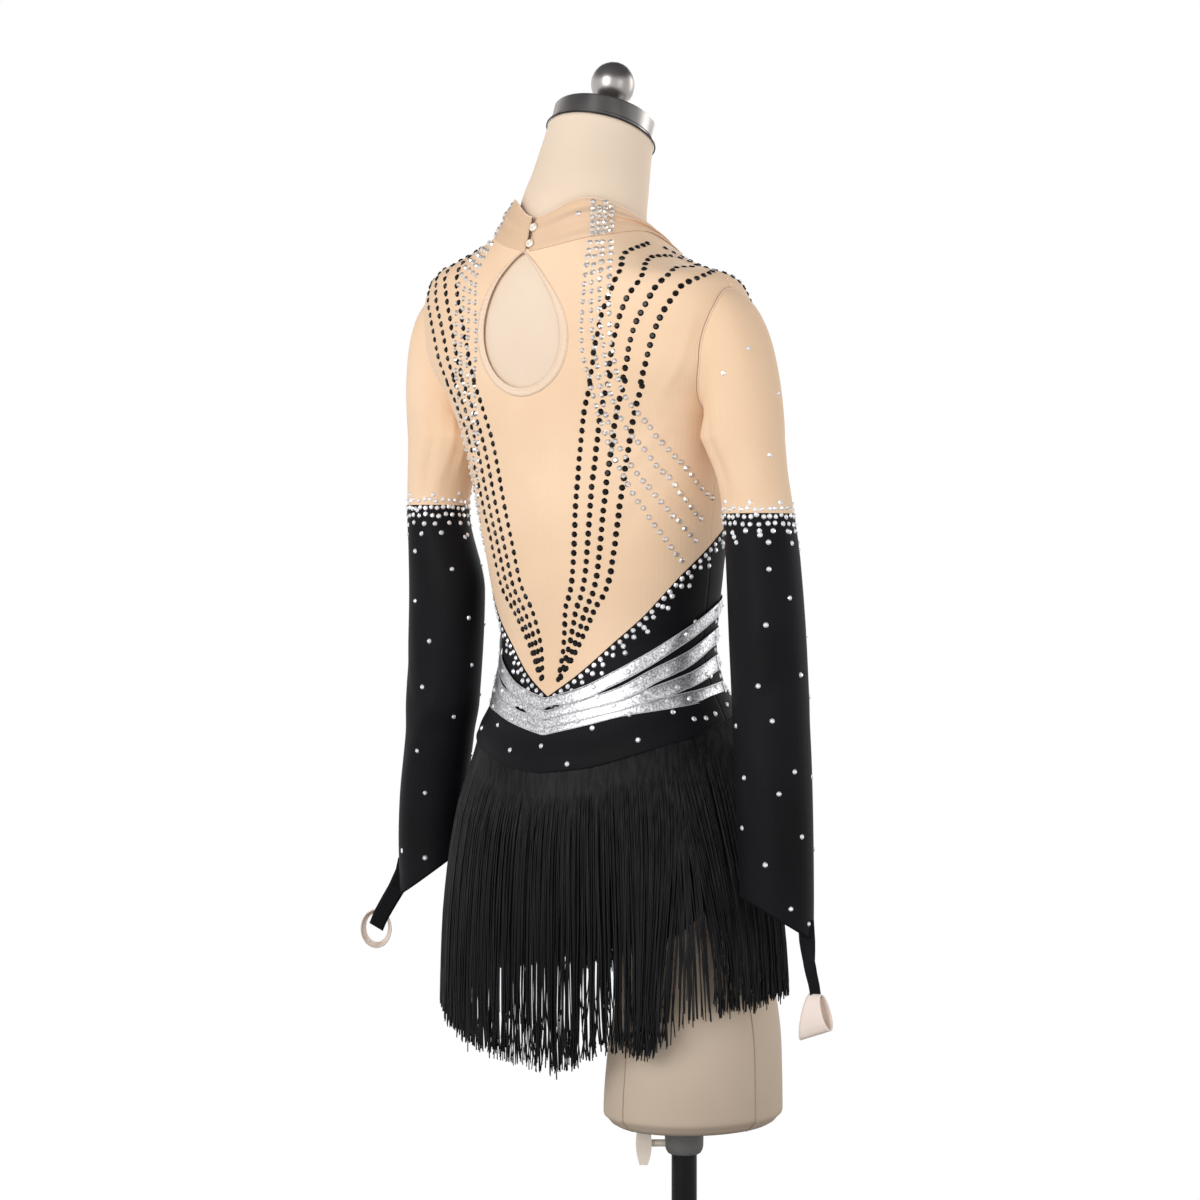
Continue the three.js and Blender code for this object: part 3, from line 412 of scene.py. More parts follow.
def painted_shade_below(made, low, high, share):
    """Painted shade: dims the base colour from a height of high, in metres, down to its share at low."""
    colour = shader_of(made).inputs["Base Color"].links[0].from_socket
    split = placed(made, add_node(made, "ShaderNodeSeparateXYZ"))
    dim = add_node(made, "ShaderNodeMapRange", From_Min=low, From_Max=high, To_Min=share, To_Max=1.0)
    link(made, split, "Z", dim, "Value")
    product = add_node(made, "ShaderNodeVectorMath")
    product.operation = "MULTIPLY"
    made.node_tree.links.new(colour, product.inputs[0])
    made.node_tree.links.new(dim.outputs["Result"], product.inputs[1])
    link(made, product, "Vector", shader_of(made), "Base Color")


def knit(made, pitch, strength, distance):
    """Fine ribs and courses of a knitted cloth, on the cloth's own UV map in metres."""
    textures = []
    for direction, part in (("X", 1.0), ("Y", 0.7)):
        wave = add_node(
            made, "ShaderNodeTexWave", Scale=part / (pitch * MM * 20), Distortion=0.6, Detail=1.0
        )
        wave.bands_direction = direction
        textures.append(placed(made, wave, output="UV"))
    relief(made, textures, strength, distance)


def nude_mesh_cloth(name="fine_nude_mesh", dark=(0.78, 0.55, 0.365), light=(0.84, 0.61, 0.42), rough=0.78):
    made = new_material(name, light, rough, specular=0.25, sheen=(0.25, 0.5, (1.0, 0.86, 0.74, 1)))
    mottle(made, 7.0, dark, light)
    knit(made, 1.1, 0.25, 0.0002)
    return made


def black_jersey():
    sheen = (0.02, 0.4, (0.75, 0.78, 1.0, 1))
    made = new_material("black_stretch_jersey", (0.006, 0.006, 0.007), 0.6, specular=0.10, sheen=sheen)
    mottle(made, 10.0, (0.0045, 0.0045, 0.0055), (0.007, 0.007, 0.009))
    knit(made, 0.9, 0.3, 0.00015)
    return made


def black_fringe_yarn():
    made = new_material("black_chainette_yarn", (0.008, 0.008, 0.009), 0.5, specular=0.16)
    mottle(made, 1.0, (0.003, 0.003, 0.0035), (0.016, 0.016, 0.018), stretch=(260, 260, 5))
    relief(made, [noise(made, 1.0, stretch=(400, 400, 700))], 0.4, 0.0004)
    return made


def silver_foil():
    made = new_material("silver_foil_cloth", (0.72, 0.72, 0.74), 0.3, metallic=0.9)
    mottle(made, 520.0, (0.30, 0.30, 0.31), (0.86, 0.86, 0.88), detail=3.0)
    relief(made, [noise(made, 90.0), noise(made, 900.0, 3.0)], 0.55, 0.0006)
    return made


def form_jersey():
    made = new_material("form_cover_jersey", (0.74, 0.60, 0.47), 0.85, specular=0.15)
    mottle(made, 6.0, (0.72, 0.57, 0.44), (0.77, 0.63, 0.495))
    # Painted shade: the cover's colour is dimmed towards the stump, where shade falls
    painted_shade_below(made, 0.48, 0.78, 0.78)
    relief(made, [noise(made, 1.0, stretch=(700, 700, 1400))], 0.2, 0.0002)
    return made


def polished_metal():
    made = new_material("polished_steel", (0.34, 0.33, 0.32), 0.3, metallic=1.0)
    # Painted reflection: vertical light and dark bands in the base colour stand in for the room mirrored in
    # the steel
    mottle(made, 1.0, (0.19, 0.185, 0.18), (0.46, 0.43, 0.41), 1.0, (34, 34, 2))
    relief(made, [noise(made, 1.0, 3.0, (20, 20, 900))], 0.05, 0.0002)
    return made


def dark_paint(name, colour, rough):
    made = new_material(name, colour, rough, specular=0.22)
    relief(made, [noise(made, 260.0)], 0.08, 0.0003)
    mottle(made, 18.0, [0.8 * c for c in colour], [1.2 * c for c in colour])
    return made


def lever_plastic():
    made = new_material("lever_plastic", (0.84, 0.74, 0.64), 0.4)
    mottle(made, 40.0, (0.80, 0.70, 0.60), (0.88, 0.79, 0.69))
    return made


def cut_stone(name, colour, metallic, specular=0.6):
    made = new_material(name, colour, 0.1, metallic=metallic, specular=specular)
    spread = add_node(made, "ShaderNodeMapRange", To_Min=0.04, To_Max=0.22)
    link(made, noise(made, 700.0, 0.0), "Fac", spread, "Value")
    link(made, spread, "Result", shader_of(made), "Roughness")
    return made


NUDE = nude_mesh_cloth()
NUDE_DOUBLE = nude_mesh_cloth("doubled_nude_mesh", (0.64, 0.44, 0.285), (0.73, 0.515, 0.35))
NUDE_SEAM = nude_mesh_cloth("nude_seam_binding", (0.76, 0.58, 0.43), (0.82, 0.64, 0.49))
ELASTIC = nude_mesh_cloth("nude_satin_elastic", (0.88, 0.72, 0.62), (0.96, 0.82, 0.73), 0.34)
BLACK = black_jersey()
YARN = black_fringe_yarn()
FOIL = silver_foil()
FOIL_RIM = new_material("silver_foil_rim", (0.82, 0.82, 0.84), 0.34, metallic=0.6)
FORM = form_jersey()
FORM_THREAD = new_material("form_seam_thread", (0.42, 0.31, 0.22), 0.8)
STEEL = polished_metal()
DARK_STEEL = new_material("dark_steel_wire", (0.03, 0.03, 0.035), 0.4, metallic=0.8)
POLE_PAINT = dark_paint("black_pole_paint", (0.004, 0.004, 0.0055), 0.45)
GREY_PAINT = dark_paint("grey_collar_paint", (0.15, 0.145, 0.14), 0.5)
PLASTIC = lever_plastic()
CLEAR_STONE = cut_stone("clear_stone", (0.86, 0.86, 0.88), 0.4)
PALE_STONE = cut_stone("champagne_stone", (0.72, 0.67, 0.63), 0.6)
JET_STONE = cut_stone("black_stone", (0.004, 0.0035, 0.0035), 0.0, 0.2)
BUTTON = cut_stone("clear_button", (0.90, 0.80, 0.68), 0.2)


# Making pieces

def row_frame(points):
    return (np.asarray(points) + PLACE) * MM


def in_scene(name, data):
    made = bpy.data.objects.new(name, data)
    bpy.context.scene.collection.objects.link(made)
    return made


def piece_of(name, mesh, finish, body="form", even=True):
    """A piece that rides on a body, with one finish, shaded evenly or by its faces."""
    mesh.materials.clear()
    mesh.materials.append(finish)
    for polygon in mesh.polygons:
        polygon.use_smooth = even
    piece = in_scene(name, mesh)
    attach(piece, body)
    return piece


def mesh_of(name, bm):
    mesh = bpy.data.meshes.new(name)
    bm.to_mesh(mesh)
    bm.free()
    return mesh


SURFACES = {}


def cloth(
    name, replaced, steps, at, finish, size, thick=0.8, closed=False, flip=False, cut=None, offset=-1
):
    """A sheet from a grid whose corners run from (0, 0) to (1, 1), moved to at(u, v), for a solid."""
    bm = bmesh.new()
    uv = bm.loops.layers.uv.new("cloth")
    bmesh.ops.create_grid(bm, x_segments=steps[0], y_segments=steps[1], size=0.5, calc_uvs=True)
    for face in bm.faces:
        for loop in face.loops:
            loop[uv].uv = (loop[uv].uv.x * size[0] * MM, loop[uv].uv.y * size[1] * MM)
    place = np.array([vert.co for vert in bm.verts]) + 0.5
    u, v = place[:, 0], place[:, 1]
    if cut is not None:
        u, v = cut(bm, u, v)
    for vert, point in zip(bm.verts, row_frame(at(u, v))):
        vert.co = point
    if cut is not None:
        inside = [face for face in bm.faces if all(vert.tag for vert in face.verts)]
        bmesh.ops.delete(bm, geom=inside, context="FACES")
    if closed:
        bmesh.ops.remove_doubles(bm, verts=bm.verts, dist=0.00002)
    if flip:
        bmesh.ops.reverse_faces(bm, faces=bm.faces)
    bm.normal_update()
    SURFACES[name] = BVHTree.FromBMesh(bm)
    piece = piece_of(name, mesh_of(name, bm), finish)
    wall = piece.modifiers.new("wall", "SOLIDIFY")
    wall.thickness = thick * MM
    wall.offset = offset
    if replaced:
        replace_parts(piece, replaced)


def spun(name, replaced, rows, finish, body="form", steps=64, place=None):
    """A turned piece for a solid, from (radius, height) rows from the lower middle to the upper one."""
    bm = bmesh.new()
    verts = [bm.verts.new((radius * MM, 0, height * MM)) for radius, height in rows]
    edges = [bm.edges.new(pair) for pair in zip(verts, verts[1:])]
    bmesh.ops.spin(
        bm, geom=verts + edges, axis=(0, 0, 1), cent=(0, 0, 0), steps=steps, angle=2 * math.pi, use_merge=True
    )
    bmesh.ops.remove_doubles(bm, verts=bm.verts, dist=0.00001)
    bmesh.ops.recalc_face_normals(bm, faces=bm.faces)
    for edge in bm.edges:
        edge.smooth = edge.calc_face_angle(0) < 0.45
    if place is not None:
        bmesh.ops.transform(bm, matrix=place, verts=bm.verts)
    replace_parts(piece_of(name, mesh_of(name, bm), finish, body), replaced)


def tubes(name, paths, finish, radius, sides=0):
    """Round threads along paths of points, each with an optional list of relative radii."""
    curve = bpy.data.curves.new(name + "_line", "CURVE")
    curve.dimensions = "3D"
    curve.bevel_depth = radius * MM
    curve.bevel_resolution = sides
    curve.use_fill_caps = True
    for path, radii in paths:
        spline = curve.splines.new("POLY")
        spline.points.add(len(path) - 1)
        spline.points.foreach_set("co", np.hstack([row_frame(path), np.ones((len(path), 1))]).ravel())
        if radii is not None:
            spline.points.foreach_set("radius", np.asarray(radii, dtype=float))
    line = in_scene(name + "_line", curve)
    made = bpy.data.meshes.new_from_object(line.evaluated_get(bpy.context.evaluated_depsgraph_get()))
    bpy.data.objects.remove(line)
    bpy.data.curves.remove(curve)
    return piece_of(name, made, finish)


# Skin coloured mesh panels

def panel_place(u, v, back):
    """Angle and height of a place on the back or front mesh panel."""
    around = (2 * u - 1) * np.pi / 2
    degrees = np.abs(np.degrees(around)) if back else 180 - np.abs(np.degrees(around))
    low = BLACK_EDGE(degrees) - 4
    high = NECKLINE(degrees) + 1
    z = low + (high - low) * v
    side = side_angle(z, back)
    return (0 if back else np.pi) + (2 * u - 1) * side, z


def keyhole_outline(t, grow=0.0):
    """Outline of the keyhole in (x, z), t from 0 to 1 round it from its pointed top."""
    turn = np.asarray(t) * 2 * np.pi
    widest = 0.815
    middle = (KEYHOLE_TOP + KEYHOLE_BOTTOM) / 2
    half = (KEYHOLE_TOP - KEYHOLE_BOTTOM) / 2
    x = -KEYHOLE_HALF / widest * np.sin(turn) * np.abs(np.sin(turn / 2)) ** KEYHOLE_POINT
    z = middle + half * np.cos(turn)
    away = unit(np.stack([x, z - middle + 12], axis=-1)) * np.asarray(grow)[..., None]
    return KEYHOLE_X + x + away[..., 0], z + np.minimum(away[..., 1], 1)


def keyhole_share(x, z):
    """How far a place is from the keyhole's middle, as a share of the way to its edge."""
    edge_x, edge_z = keyhole_outline(np.linspace(0, 1, 721))
    bearing = np.arctan2(edge_x - KEYHOLE_X, edge_z - KEYHOLE_MIDDLE)
    order = np.argsort(bearing)
    reach = np.hypot(edge_x - KEYHOLE_X, edge_z - KEYHOLE_MIDDLE)
    here = np.arctan2(x - KEYHOLE_X, z - KEYHOLE_MIDDLE)
    edge = np.interp(here, bearing[order], reach[order], period=2 * np.pi)
    return np.hypot(x - KEYHOLE_X, z - KEYHOLE_MIDDLE) / edge


def keyhole_cut(bm, u, v):
    """Marks the places inside the keyhole."""
    phi, height = panel_place(u, v, True)
    share = keyhole_share(torso(phi, height)[:, 0], height)
    for vert, within in zip(bm.verts, share < 1):
        vert.tag = bool(within)
    return u, v


def back_mesh_panel():
    def at(u, v):
        phi, z = panel_place(u, v, True)
        x = torso(phi, z)[:, 0]
        share = keyhole_share(x, z)
        push = np.where(share < 1, 1 / np.maximum(share, 1e-3), 1)
        z = np.where(share < 1, KEYHOLE_MIDDLE + (z - KEYHOLE_MIDDLE) * push, z)
        phi = np.where(share < 1, back_angle(KEYHOLE_X + (x - KEYHOLE_X) * push, z), phi)
        return leaned(on_body(phi, z, folds("back_mesh", phi, z)))

    size = (420, 420)
    cloth("back_mesh", "back_mesh_panel", (150, 180), at, NUDE, size, cut=keyhole_cut)


def front_mesh_panel():
    def at(u, v):
        phi, z = panel_place(u, v, False)
        return leaned(on_body(phi, z, folds("front_mesh", phi - np.pi, z)))

    cloth("front_mesh", "front_mesh_panel", (110, 110), at, NUDE, (420, 260))


def keyhole_binding():
    def at(u, v):
        x, z = keyhole_outline(u, -0.6 + 8.6 * v)
        roll = 0.4 * np.sin(np.pi * np.clip(v, 0, 1)) ** 0.5
        return leaned(on_body(back_angle(x, z), z, 0.5 + roll))

    size = (340, 8)
    cloth("keyhole_edge", "keyhole_binding", (140, 5), at, NUDE_SEAM, size, 0.5, closed=True)
    stitches = []
    count = 86
    for grow in (2.0, 6.4):
        for k in range(count):
            t = (np.array([k, k + 0.55]) + 0.2) / count
            x, z = keyhole_outline(t, grow)
            stitches.append((leaned(on_body(back_angle(x, z), z, 0.95)), None))
    tubes("keyhole_stitches", stitches, NUDE_SEAM, 0.22)


# Black bodice, brief, yoke and bands

def black_bodice(back):
    def at(u, v):
        phi = half_round(u, back)
        around = from_back(phi)
        low, high = LEG_LINE(around), BLACK_EDGE(around)
        z = low + (high - low) * v
        creases = folds("bodice", phi if back else phi - np.pi, z)
        return leaned(on_body(phi, z, 0.5 + creases))

    name = "back" if back else "front"
    cloth(name + "_black", name + "_bodice", (110, 130), at, BLACK, (420, 400))


def crotch_strip():
    def at(u, v):
        return points_of((2 * u - 1) * 18.5, -21.5 + 52 * v, 643.3 - 1.2 * np.sin(np.pi * u))

    cloth("crotch_strip", "crotch_gusset", (12, 24), at, BLACK, (37, 52), flip=True)


ORDER = ["first", "second", "third", "fourth"]
BAND_END = 106  # degrees from the centre back, where the back bands are sewn down
SLITS = [(0, 3.4, 4.4), (1, -14.6, 4.4)]  # band above, angle and half length of the small gaps left


def band_edges(index, around_signed):
    """Top and bottom of a band: each laps over the next one where they touch."""
    around = np.abs(around_signed)
    top = BAND_MIDDLES[index](around) + BAND_HALVES[index](around)
    bottom = BAND_MIDDLES[index](around) - BAND_HALVES[index](around)
    if index < 3:
        gap = bottom - BAND_MIDDLES[index + 1](around) - BAND_HALVES[index + 1](around)
        bottom = bottom - 2.4 * (1 - smooth(0.9, 2.4, gap))
    for above, angle, half in SLITS:
        notch = np.exp(-(((around_signed - angle) / half) ** 4))
        if index == above:
            bottom = bottom + 3.4 * notch
        if index == above + 1:
            top = top - 1.4 * notch
    return top, bottom


def band(index, back):
    start = 0 if back else 180
    reach = BAND_END if back else 180 - BAND_END
    level = 1.2 + 0.55 * (3 - index)

    def place(across, v):
        degrees = start + across * reach
        signed = np.where(degrees > 180, degrees - 360, degrees)
        top, bottom = band_edges(index, signed)
        z = bottom + (top - bottom) * v
        crown = 0.5 * np.sin(np.pi * v) ** 0.6
        return on_body(np.radians(degrees), z, level + crown)

    name = f"{'back' if back else 'front'}_band_{ORDER[index]}"
    cloth(
        "silver_" + name, name, (150 if back else 110, 6), lambda u, v: place(2 * u - 1, v), FOIL,
        (500, 14), 0.45,
    )
    across = np.linspace(-1, 1, 110)
    rims = [(place(across, np.full(110, v)), None) for v in (0.04, 0.96)]
    tubes("band_rims_" + name, rims, FOIL_RIM, 0.42)
    if back:
        for side in (-1, 1):
            band_tab(index, side)


def band_tab(index, side):
    """The turned end of a band, sewn down over the side."""

    def at(u, v):
        degrees = side * (BAND_END - 1.4 + 2.2 * u)
        top, bottom = band_edges(index, side * np.full_like(u, BAND_END))
        z = bottom - 0.6 + (top - bottom + 1.2) * v
        return on_body(np.radians(degrees), z, 3.4 - 0.3 * index)

    where = "right" if side > 0 else "left"
    cloth(f"band_tab_{where}_{index}", None, (4, 8), at, FOIL_RIM, (5, 15), 0.6, flip=side < 0)


def hip_yoke(back):
    def at(u, v):
        phi = half_round(u, back)
        around = from_back(phi)
        low = YOKE_BOTTOM(around)
        high = BAND_MIDDLES[3](around) - 3
        z = low + (high - low) * v
        flare = 3.6 * (1 - smooth(8, 34, z - low)) + 0.9
        roll = 0.6 * np.exp(-(((z - low) / 2.2) ** 2))
        return on_body(phi, z, flare + roll)

    name = "back_yoke" if back else "front_yoke"
    cloth("black_" + name, name, (110, 26), at, BLACK, (420, 50))


# Fringe

def fringe_envelope(phi, z):
    c = np.cos(phi)
    reach = np.where(c > 0, FRINGE_BACK(z), FRINGE_FRONT(z))
    return points_of(-FRINGE_BREADTH(z) * np.sin(phi), 3 + reach * c, z)


def split_turn(angle):
    """How far a strand has swung aside at its tip, in degrees, next to the parting."""
    before = -9.4 * smooth(30, SPLIT_ANGLE, angle) * (angle < SPLIT_ANGLE)
    after = 8.2 * (1 - smooth(SPLIT_ANGLE, 88, angle)) * (angle >= SPLIT_ANGLE)
    return before + after


def bunch_middle(angle):
    """The middle of the bunch that a strand hangs in; bunches are uneven in width."""
    uneven = 0.9 * math.sin(0.9 * angle) + 0.6 * math.sin(0.37 * angle + 1.0)
    return (math.floor((angle + uneven) / BUNCH) + 0.5) * BUNCH - uneven


def one_strand(angle, draw, gap_strand=False):
    """Points and relative radii of one strand that starts at an angle in degrees."""
    rows = 13
    t = np.linspace(0, 1, rows)
    signed = (angle + 180) % 360 - 180
    root = YOKE_BOTTOM(abs(signed)) + 4
    stray = draw.random() < 0.12
    swing = draw.uniform(-0.5, 0.5) if gap_strand else split_turn(angle)
    if stray:
        pull = draw.uniform(-0.9, 0.9)
    else:
        pull = 0.74 * (bunch_middle(angle) - angle) + draw.uniform(-0.3, 0.3)
    tip_angle = signed + swing + pull
    tip = FRINGE_HEM(tip_angle) + draw.gauss(0, 3.6) + (draw.uniform(5, 45) if draw.random() < 0.22 else 0)
    z = root + (tip - root) * t
    bend = smooth(0.05, 1.0, t)
    wander = draw.uniform(-0.5, 0.5) * np.sin(np.pi * t * draw.uniform(1.0, 2.4) + draw.uniform(0, 6))
    curl = draw.uniform(-1.5, 1.5) * smooth(0.86, 1.0, t)
    z = z + 5.0 * abs(curl) * smooth(0.93, 1.0, t)
    turned = np.radians(angle + swing * bend + pull * smooth(0.35, 1.0, t) + wander * bend + curl)
    depth = draw.uniform(-5.0, 1.5) * smooth(0.02, 0.25, t)
    near = on_body(turned, z, 2.0)
    free = fringe_envelope(turned, z)
    outward = unit(free * np.array([1, 1, 0]))
    free = free + outward * depth[:, None]
    share = smooth(6, 70, root - z)[:, None]
    thin = draw.uniform(0.8, 1.1)
    radii = thin * (1 - 0.22 * smooth(0.5, 1, t))
    return near * (1 - share) + free * share, radii


def fringe(back):
    draw = random.Random(SEED + back)
    start = -90 if back else 90
    paths = []
    for k in range(STRANDS):
        angle = start + (k + draw.uniform(0.1, 0.9)) * 180 / STRANDS
        paths.append(one_strand(angle, draw))
    if back:
        for _ in range(GAP_STRANDS):
            angle = SPLIT_ANGLE + draw.uniform(-3, 3)
            strand, radii = one_strand(angle, draw, gap_strand=True)
            spread = draw.uniform(-9.5, 8.5)
            t = np.linspace(0, 1, len(strand))
            turned = np.radians(angle + spread * t)
            free = fringe_envelope(turned, strand[:, 2])
            share = smooth(0.02, 0.3, t)[:, None]
            paths.append((strand * (1 - share) + free * share, radii))
    name = "back_fringe" if back else "front_fringe"
    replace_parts(tubes("chainette_" + name, paths, YARN, 0.85), name)


def fringe_header(back):
    def at(u, v):
        phi = half_round(u, back)
        z = YOKE_BOTTOM(from_back(phi)) + 1 + 7 * v
        return on_body(phi, z, 2.6)

    cloth("fringe_header_" + ("back" if back else "front"), None, (110, 2), at, BLACK, (420, 7), 1.0)


# Sleeves

def armhole_point(turn, side):
    z = ARMHOLE_Z + ARMHOLE_HALF * np.cos(turn)
    s = np.sin(turn)
    depth = np.where(s >= 0, ARMHOLE_BACK, ARMHOLE_FRONT) * np.abs(s)
    part = depth / np.where(s >= 0, BACK_REACH(z), FRONT_REACH(z))
    angle = np.arccos(part ** (POWER(z) / 2))
    phi = -side * np.where(s >= 0, angle, np.pi - angle)
    return torso(phi, z) + np.array([side * 0.8, 0, 0])


def sleeve_ring(name, turn, z, out=0.0):
    x, y, half_width, half_depth = (column(z) for column in SLEEVES[name])
    side = SLEEVE_SIDE[name]
    return points_of(
        side * (x + (half_width + out) * np.cos(turn)), y + (half_depth + out) * np.sin(turn), z
    )


def sleeve_cap(name, turn, t):
    side = SLEEVE_SIDE[name]
    up = ((1 + np.cos(turn)) / 2)[:, None]
    start = armhole_point(turn, side)
    end = sleeve_ring(name, turn, np.full_like(turn, CAP_END))
    out = np.array([side, 0, -0.3]) * (8 + 96 * up)
    down = np.array([0, 0, -1]) * (18 + 122 * up)
    return cubic(t[:, None], start, out, end, down)


def sleeve_mesh(name):
    side = SLEEVE_SIDE[name]
    join = SLEEVE_JOIN[name]
    share = 0.72

    def at(u, v):
        turn = u * 2 * np.pi
        cap = sleeve_cap(name, turn, np.clip(v / share, 0, 1))
        z = CAP_END + (join - 3 - CAP_END) * np.clip((v - share) / (1 - share), 0, 1)
        tube = sleeve_ring(name, turn, z)
        p = np.where((v <= share)[:, None], cap, tube)
        middle = np.array([side * 195, 35, 0])
        outward = unit((p - middle) * np.array([1, 1, 0]))
        lift = folds("sleeve", turn, p[:, 2]) * smooth(0.1, 0.4, v)
        return leaned(p + outward * lift[:, None])

    cloth(
        "nude_sleeve_" + name, "sleeve_mesh_" + name, (96, 110), at, NUDE, (250, 200),
        closed=True, flip=side > 0,
    )
    ring = np.linspace(0, 2 * np.pi, 97)
    seam = leaned(armhole_point(ring, side) + np.array([side * 0.4, 0, 0]))
    tubes("armhole_seam_" + name, [(seam, None)], NUDE_SEAM, 1.0, sides=2)


def sleeve_black(name):
    join = SLEEVE_JOIN[name]
    inner, drop, low = SLEEVE_HEM[name]

    def at(u, v):
        turn = u * 2 * np.pi
        hem = inner - drop * (1 + np.cos(turn - math.radians(low))) / 2
        z = join + (hem - join) * v
        return leaned(sleeve_ring(name, turn, z, 0.6 + folds("sleeve", turn, z)))

    cloth(
        "black_sleeve_" + name, "sleeve_black_" + name, (96, 130), at, BLACK, (230, 360),
        closed=True, flip=SLEEVE_SIDE[name] > 0,
    )


SQUARE_ON, SLANTED = np.array([-0.766, -0.643, 0]), (-0.66, -0.55, -0.51)
TAILS = {  # middle of the tail, width, and the direction across it
    "right": [
        ((-261.5, 32, 702), 15, SQUARE_ON), ((-263, 32, 682), 15, SQUARE_ON),
        ((-264.5, 31.5, 664), 12, (-0.9, -0.2, 0)), ((-267, 31, 652), 11, (-0.80, -0.60, 0.1)),
        ((-270, 31, 642), 10.5, SQUARE_ON), ((-272, 30.5, 630), 10, SQUARE_ON),
    ],
    "left": [
        ((252, 28, 722), 30, SLANTED), ((259, 30, 712), 21, SLANTED), ((269, 32, 696), 18, SLANTED),
        ((274, 38, 683), 17.5, SLANTED), ((280, 44, 668), 17, SLANTED), ((283, 48, 656), 16.5, SLANTED),
    ],
}


def sleeve_tail(name):
    rows = TAILS[name]
    count = len(rows) - 1

    def at(u, v):
        place = v * count
        k = np.minimum(place.astype(int), count - 1)
        t = smooth(0, 1, place - k)[:, None]
        middles, widths, ways = (np.array(column, dtype=float) for column in zip(*rows))
        middle = middles[k] * (1 - t) + middles[k + 1] * t
        width = widths[k][:, None] * (1 - t) + widths[k + 1][:, None] * t
        way = unit(unit(ways)[k] * (1 - t) + unit(ways)[k + 1] * t)
        return middle + way * width * (u - 0.5)[:, None]

    cloth("sleeve_tail_" + name, None, (6, 40), at, BLACK, (20, 70), 1.2, offset=0)


def finger_loop(name):
    if name == "right":
        middle, high, wide, width = np.array([-272, 31, 614.6]), 19, 7, 30
        across, axis, slant = np.array([0, 1, 0]), np.array([-1, 0, 0]), -0.35
    else:
        middle, high, wide, width = np.array([289, 41, 654]), 16, 12, 14
        across, axis, slant = SQUARE_ON, np.array([-0.643, 0.766, 0]), 0
    cone = 0 if slant else 4

    def at(u, v):
        turn = u * 2 * np.pi
        taper = 0.8 - 0.35 * np.cos(turn) if slant else 1.0
        along = (v - 0.5) * width * taper
        grow = cone * v
        p = middle + across * ((wide + grow) * np.sin(turn))[:, None] + axis * along[:, None]
        p[:, 2] += (high + grow) * np.cos(turn) - slant * along * (1 - np.cos(turn)) * 0.5
        return p

    cloth(
        "satin_loop_" + name, "finger_loop_" + name, (64, 10), at, ELASTIC, (90, width), 1.0,
        closed=True, offset=0,
    )


# Collar and its closure

def collar_point(u, v, out):
    gap = np.radians(0.8 + 1.6 * v**2)
    phi = gap + u * (2 * np.pi - 2 * gap)
    around = from_back(phi)
    foot = on_body(phi, NECKLINE(around) - 2, out)
    dip = COLLAR_DIP * np.exp(-((around / COLLAR_DIP_ANGLE) ** 2))
    radius = COLLAR_RADIUS + out
    reach = np.where(np.cos(phi) > 0, COLLAR_RADIUS, COLLAR_FRONT) + out
    x, y = -radius * np.sin(phi), 40 + reach * np.cos(phi)
    top = points_of(x, y, COLLAR_TOP + COLLAR_SLOPE * (y - 40) - dip)
    skin = on_body(phi, top[:, 2], out)
    wider = np.hypot(skin[:, 0], skin[:, 1] - 40) > np.hypot(top[:, 0], top[:, 1] - 40)
    top = np.where(wider[:, None], skin, top)
    p = foot + (top - foot) * np.asarray(v)[..., None]
    drift = 0.05 * np.sin(3 * phi + 0.6)
    waves = 1.6 * np.sin(2 * np.pi * (2.1 * v + drift)) + 0.9 * np.sin(2 * np.pi * (3.4 * v - 2 * drift) + 1)
    side = np.where(np.sin(phi) < 0, 0.45, 1.0)
    calm = side * (0.25 + 0.75 * smooth(6, 34, around))
    puff = (0.6 + waves) * np.sin(np.pi * np.clip(v, 0, 1)) ** 0.7 * calm
    p[:, 0] -= puff * np.sin(phi)
    p[:, 1] += puff * np.cos(phi)
    return p


def collar():
    def at(u, v):
        return leaned(collar_point(u, v, np.full_like(u, 0.9)))

    cloth("nude_collar", "collar", (150, 34), at, NUDE_DOUBLE, (420, 60))
    edge = leaned(collar_point(np.linspace(0, 1, 120), np.ones(120), np.full(120, 0.7)))
    tubes("collar_edge", [(edge, None)], NUDE_SEAM, 0.8, sides=2)


def closure_buttons():
    for name, v in (("low", 0.22), ("high", 0.68)):
        seat = leaned(collar_point(np.array([0.0]), np.array([v]), np.array([1.4])))[0]
        place = Matrix.Translation(Vector(row_frame(seat))) @ Matrix.Rotation(math.radians(-72), 4, "X")
        rows = [(0, 0), (4.2, 0), (4.4, 0.6), (3.9, 1.6), (2.6, 2.4), (1.0, 2.0), (0, 1.9)]
        button = "closure_button_" + name
        spun("clear_button_" + name, button, rows, BUTTON, steps=24, place=place)


# Dress form and its stand

def neck_ring(phi, radius):
    over = np.array([0, math.cos(NECK_TILT), math.sin(NECK_TILT)])
    return NECK_TOP + points_of(-radius * np.sin(phi), 0, 0) + over * (radius * np.cos(phi))[:, None]


def form_point(phi, v):
    """The cover from the crotch, v 0, to the neck plate, v 1."""
    body_share = 0.88
    z = 648 + (1390 - 648) * np.clip(v / body_share, 0, 1)
    inset = 3.2 + 14 * (1 - smooth(660, 750, z)) + 2 * smooth(1330, 1350, z)
    body = on_body(phi, z, -inset)
    body[:, 0] = np.clip(body[:, 0], -164, 164)
    base = on_body(phi, np.full_like(phi, 1390.0), np.full_like(phi, -5.2))
    ring = neck_ring(phi, NECK_RADIUS)
    up = np.array([0, -math.sin(NECK_TILT), math.cos(NECK_TILT)])
    t = np.clip((v - body_share) / (1 - body_share), 0, 1)[:, None]
    rise = 62
    neck = cubic(t, base, np.array([0, -0.15, 1]) * rise, ring, up * rise)
    return leaned(np.where((v <= body_share)[:, None], body, neck))


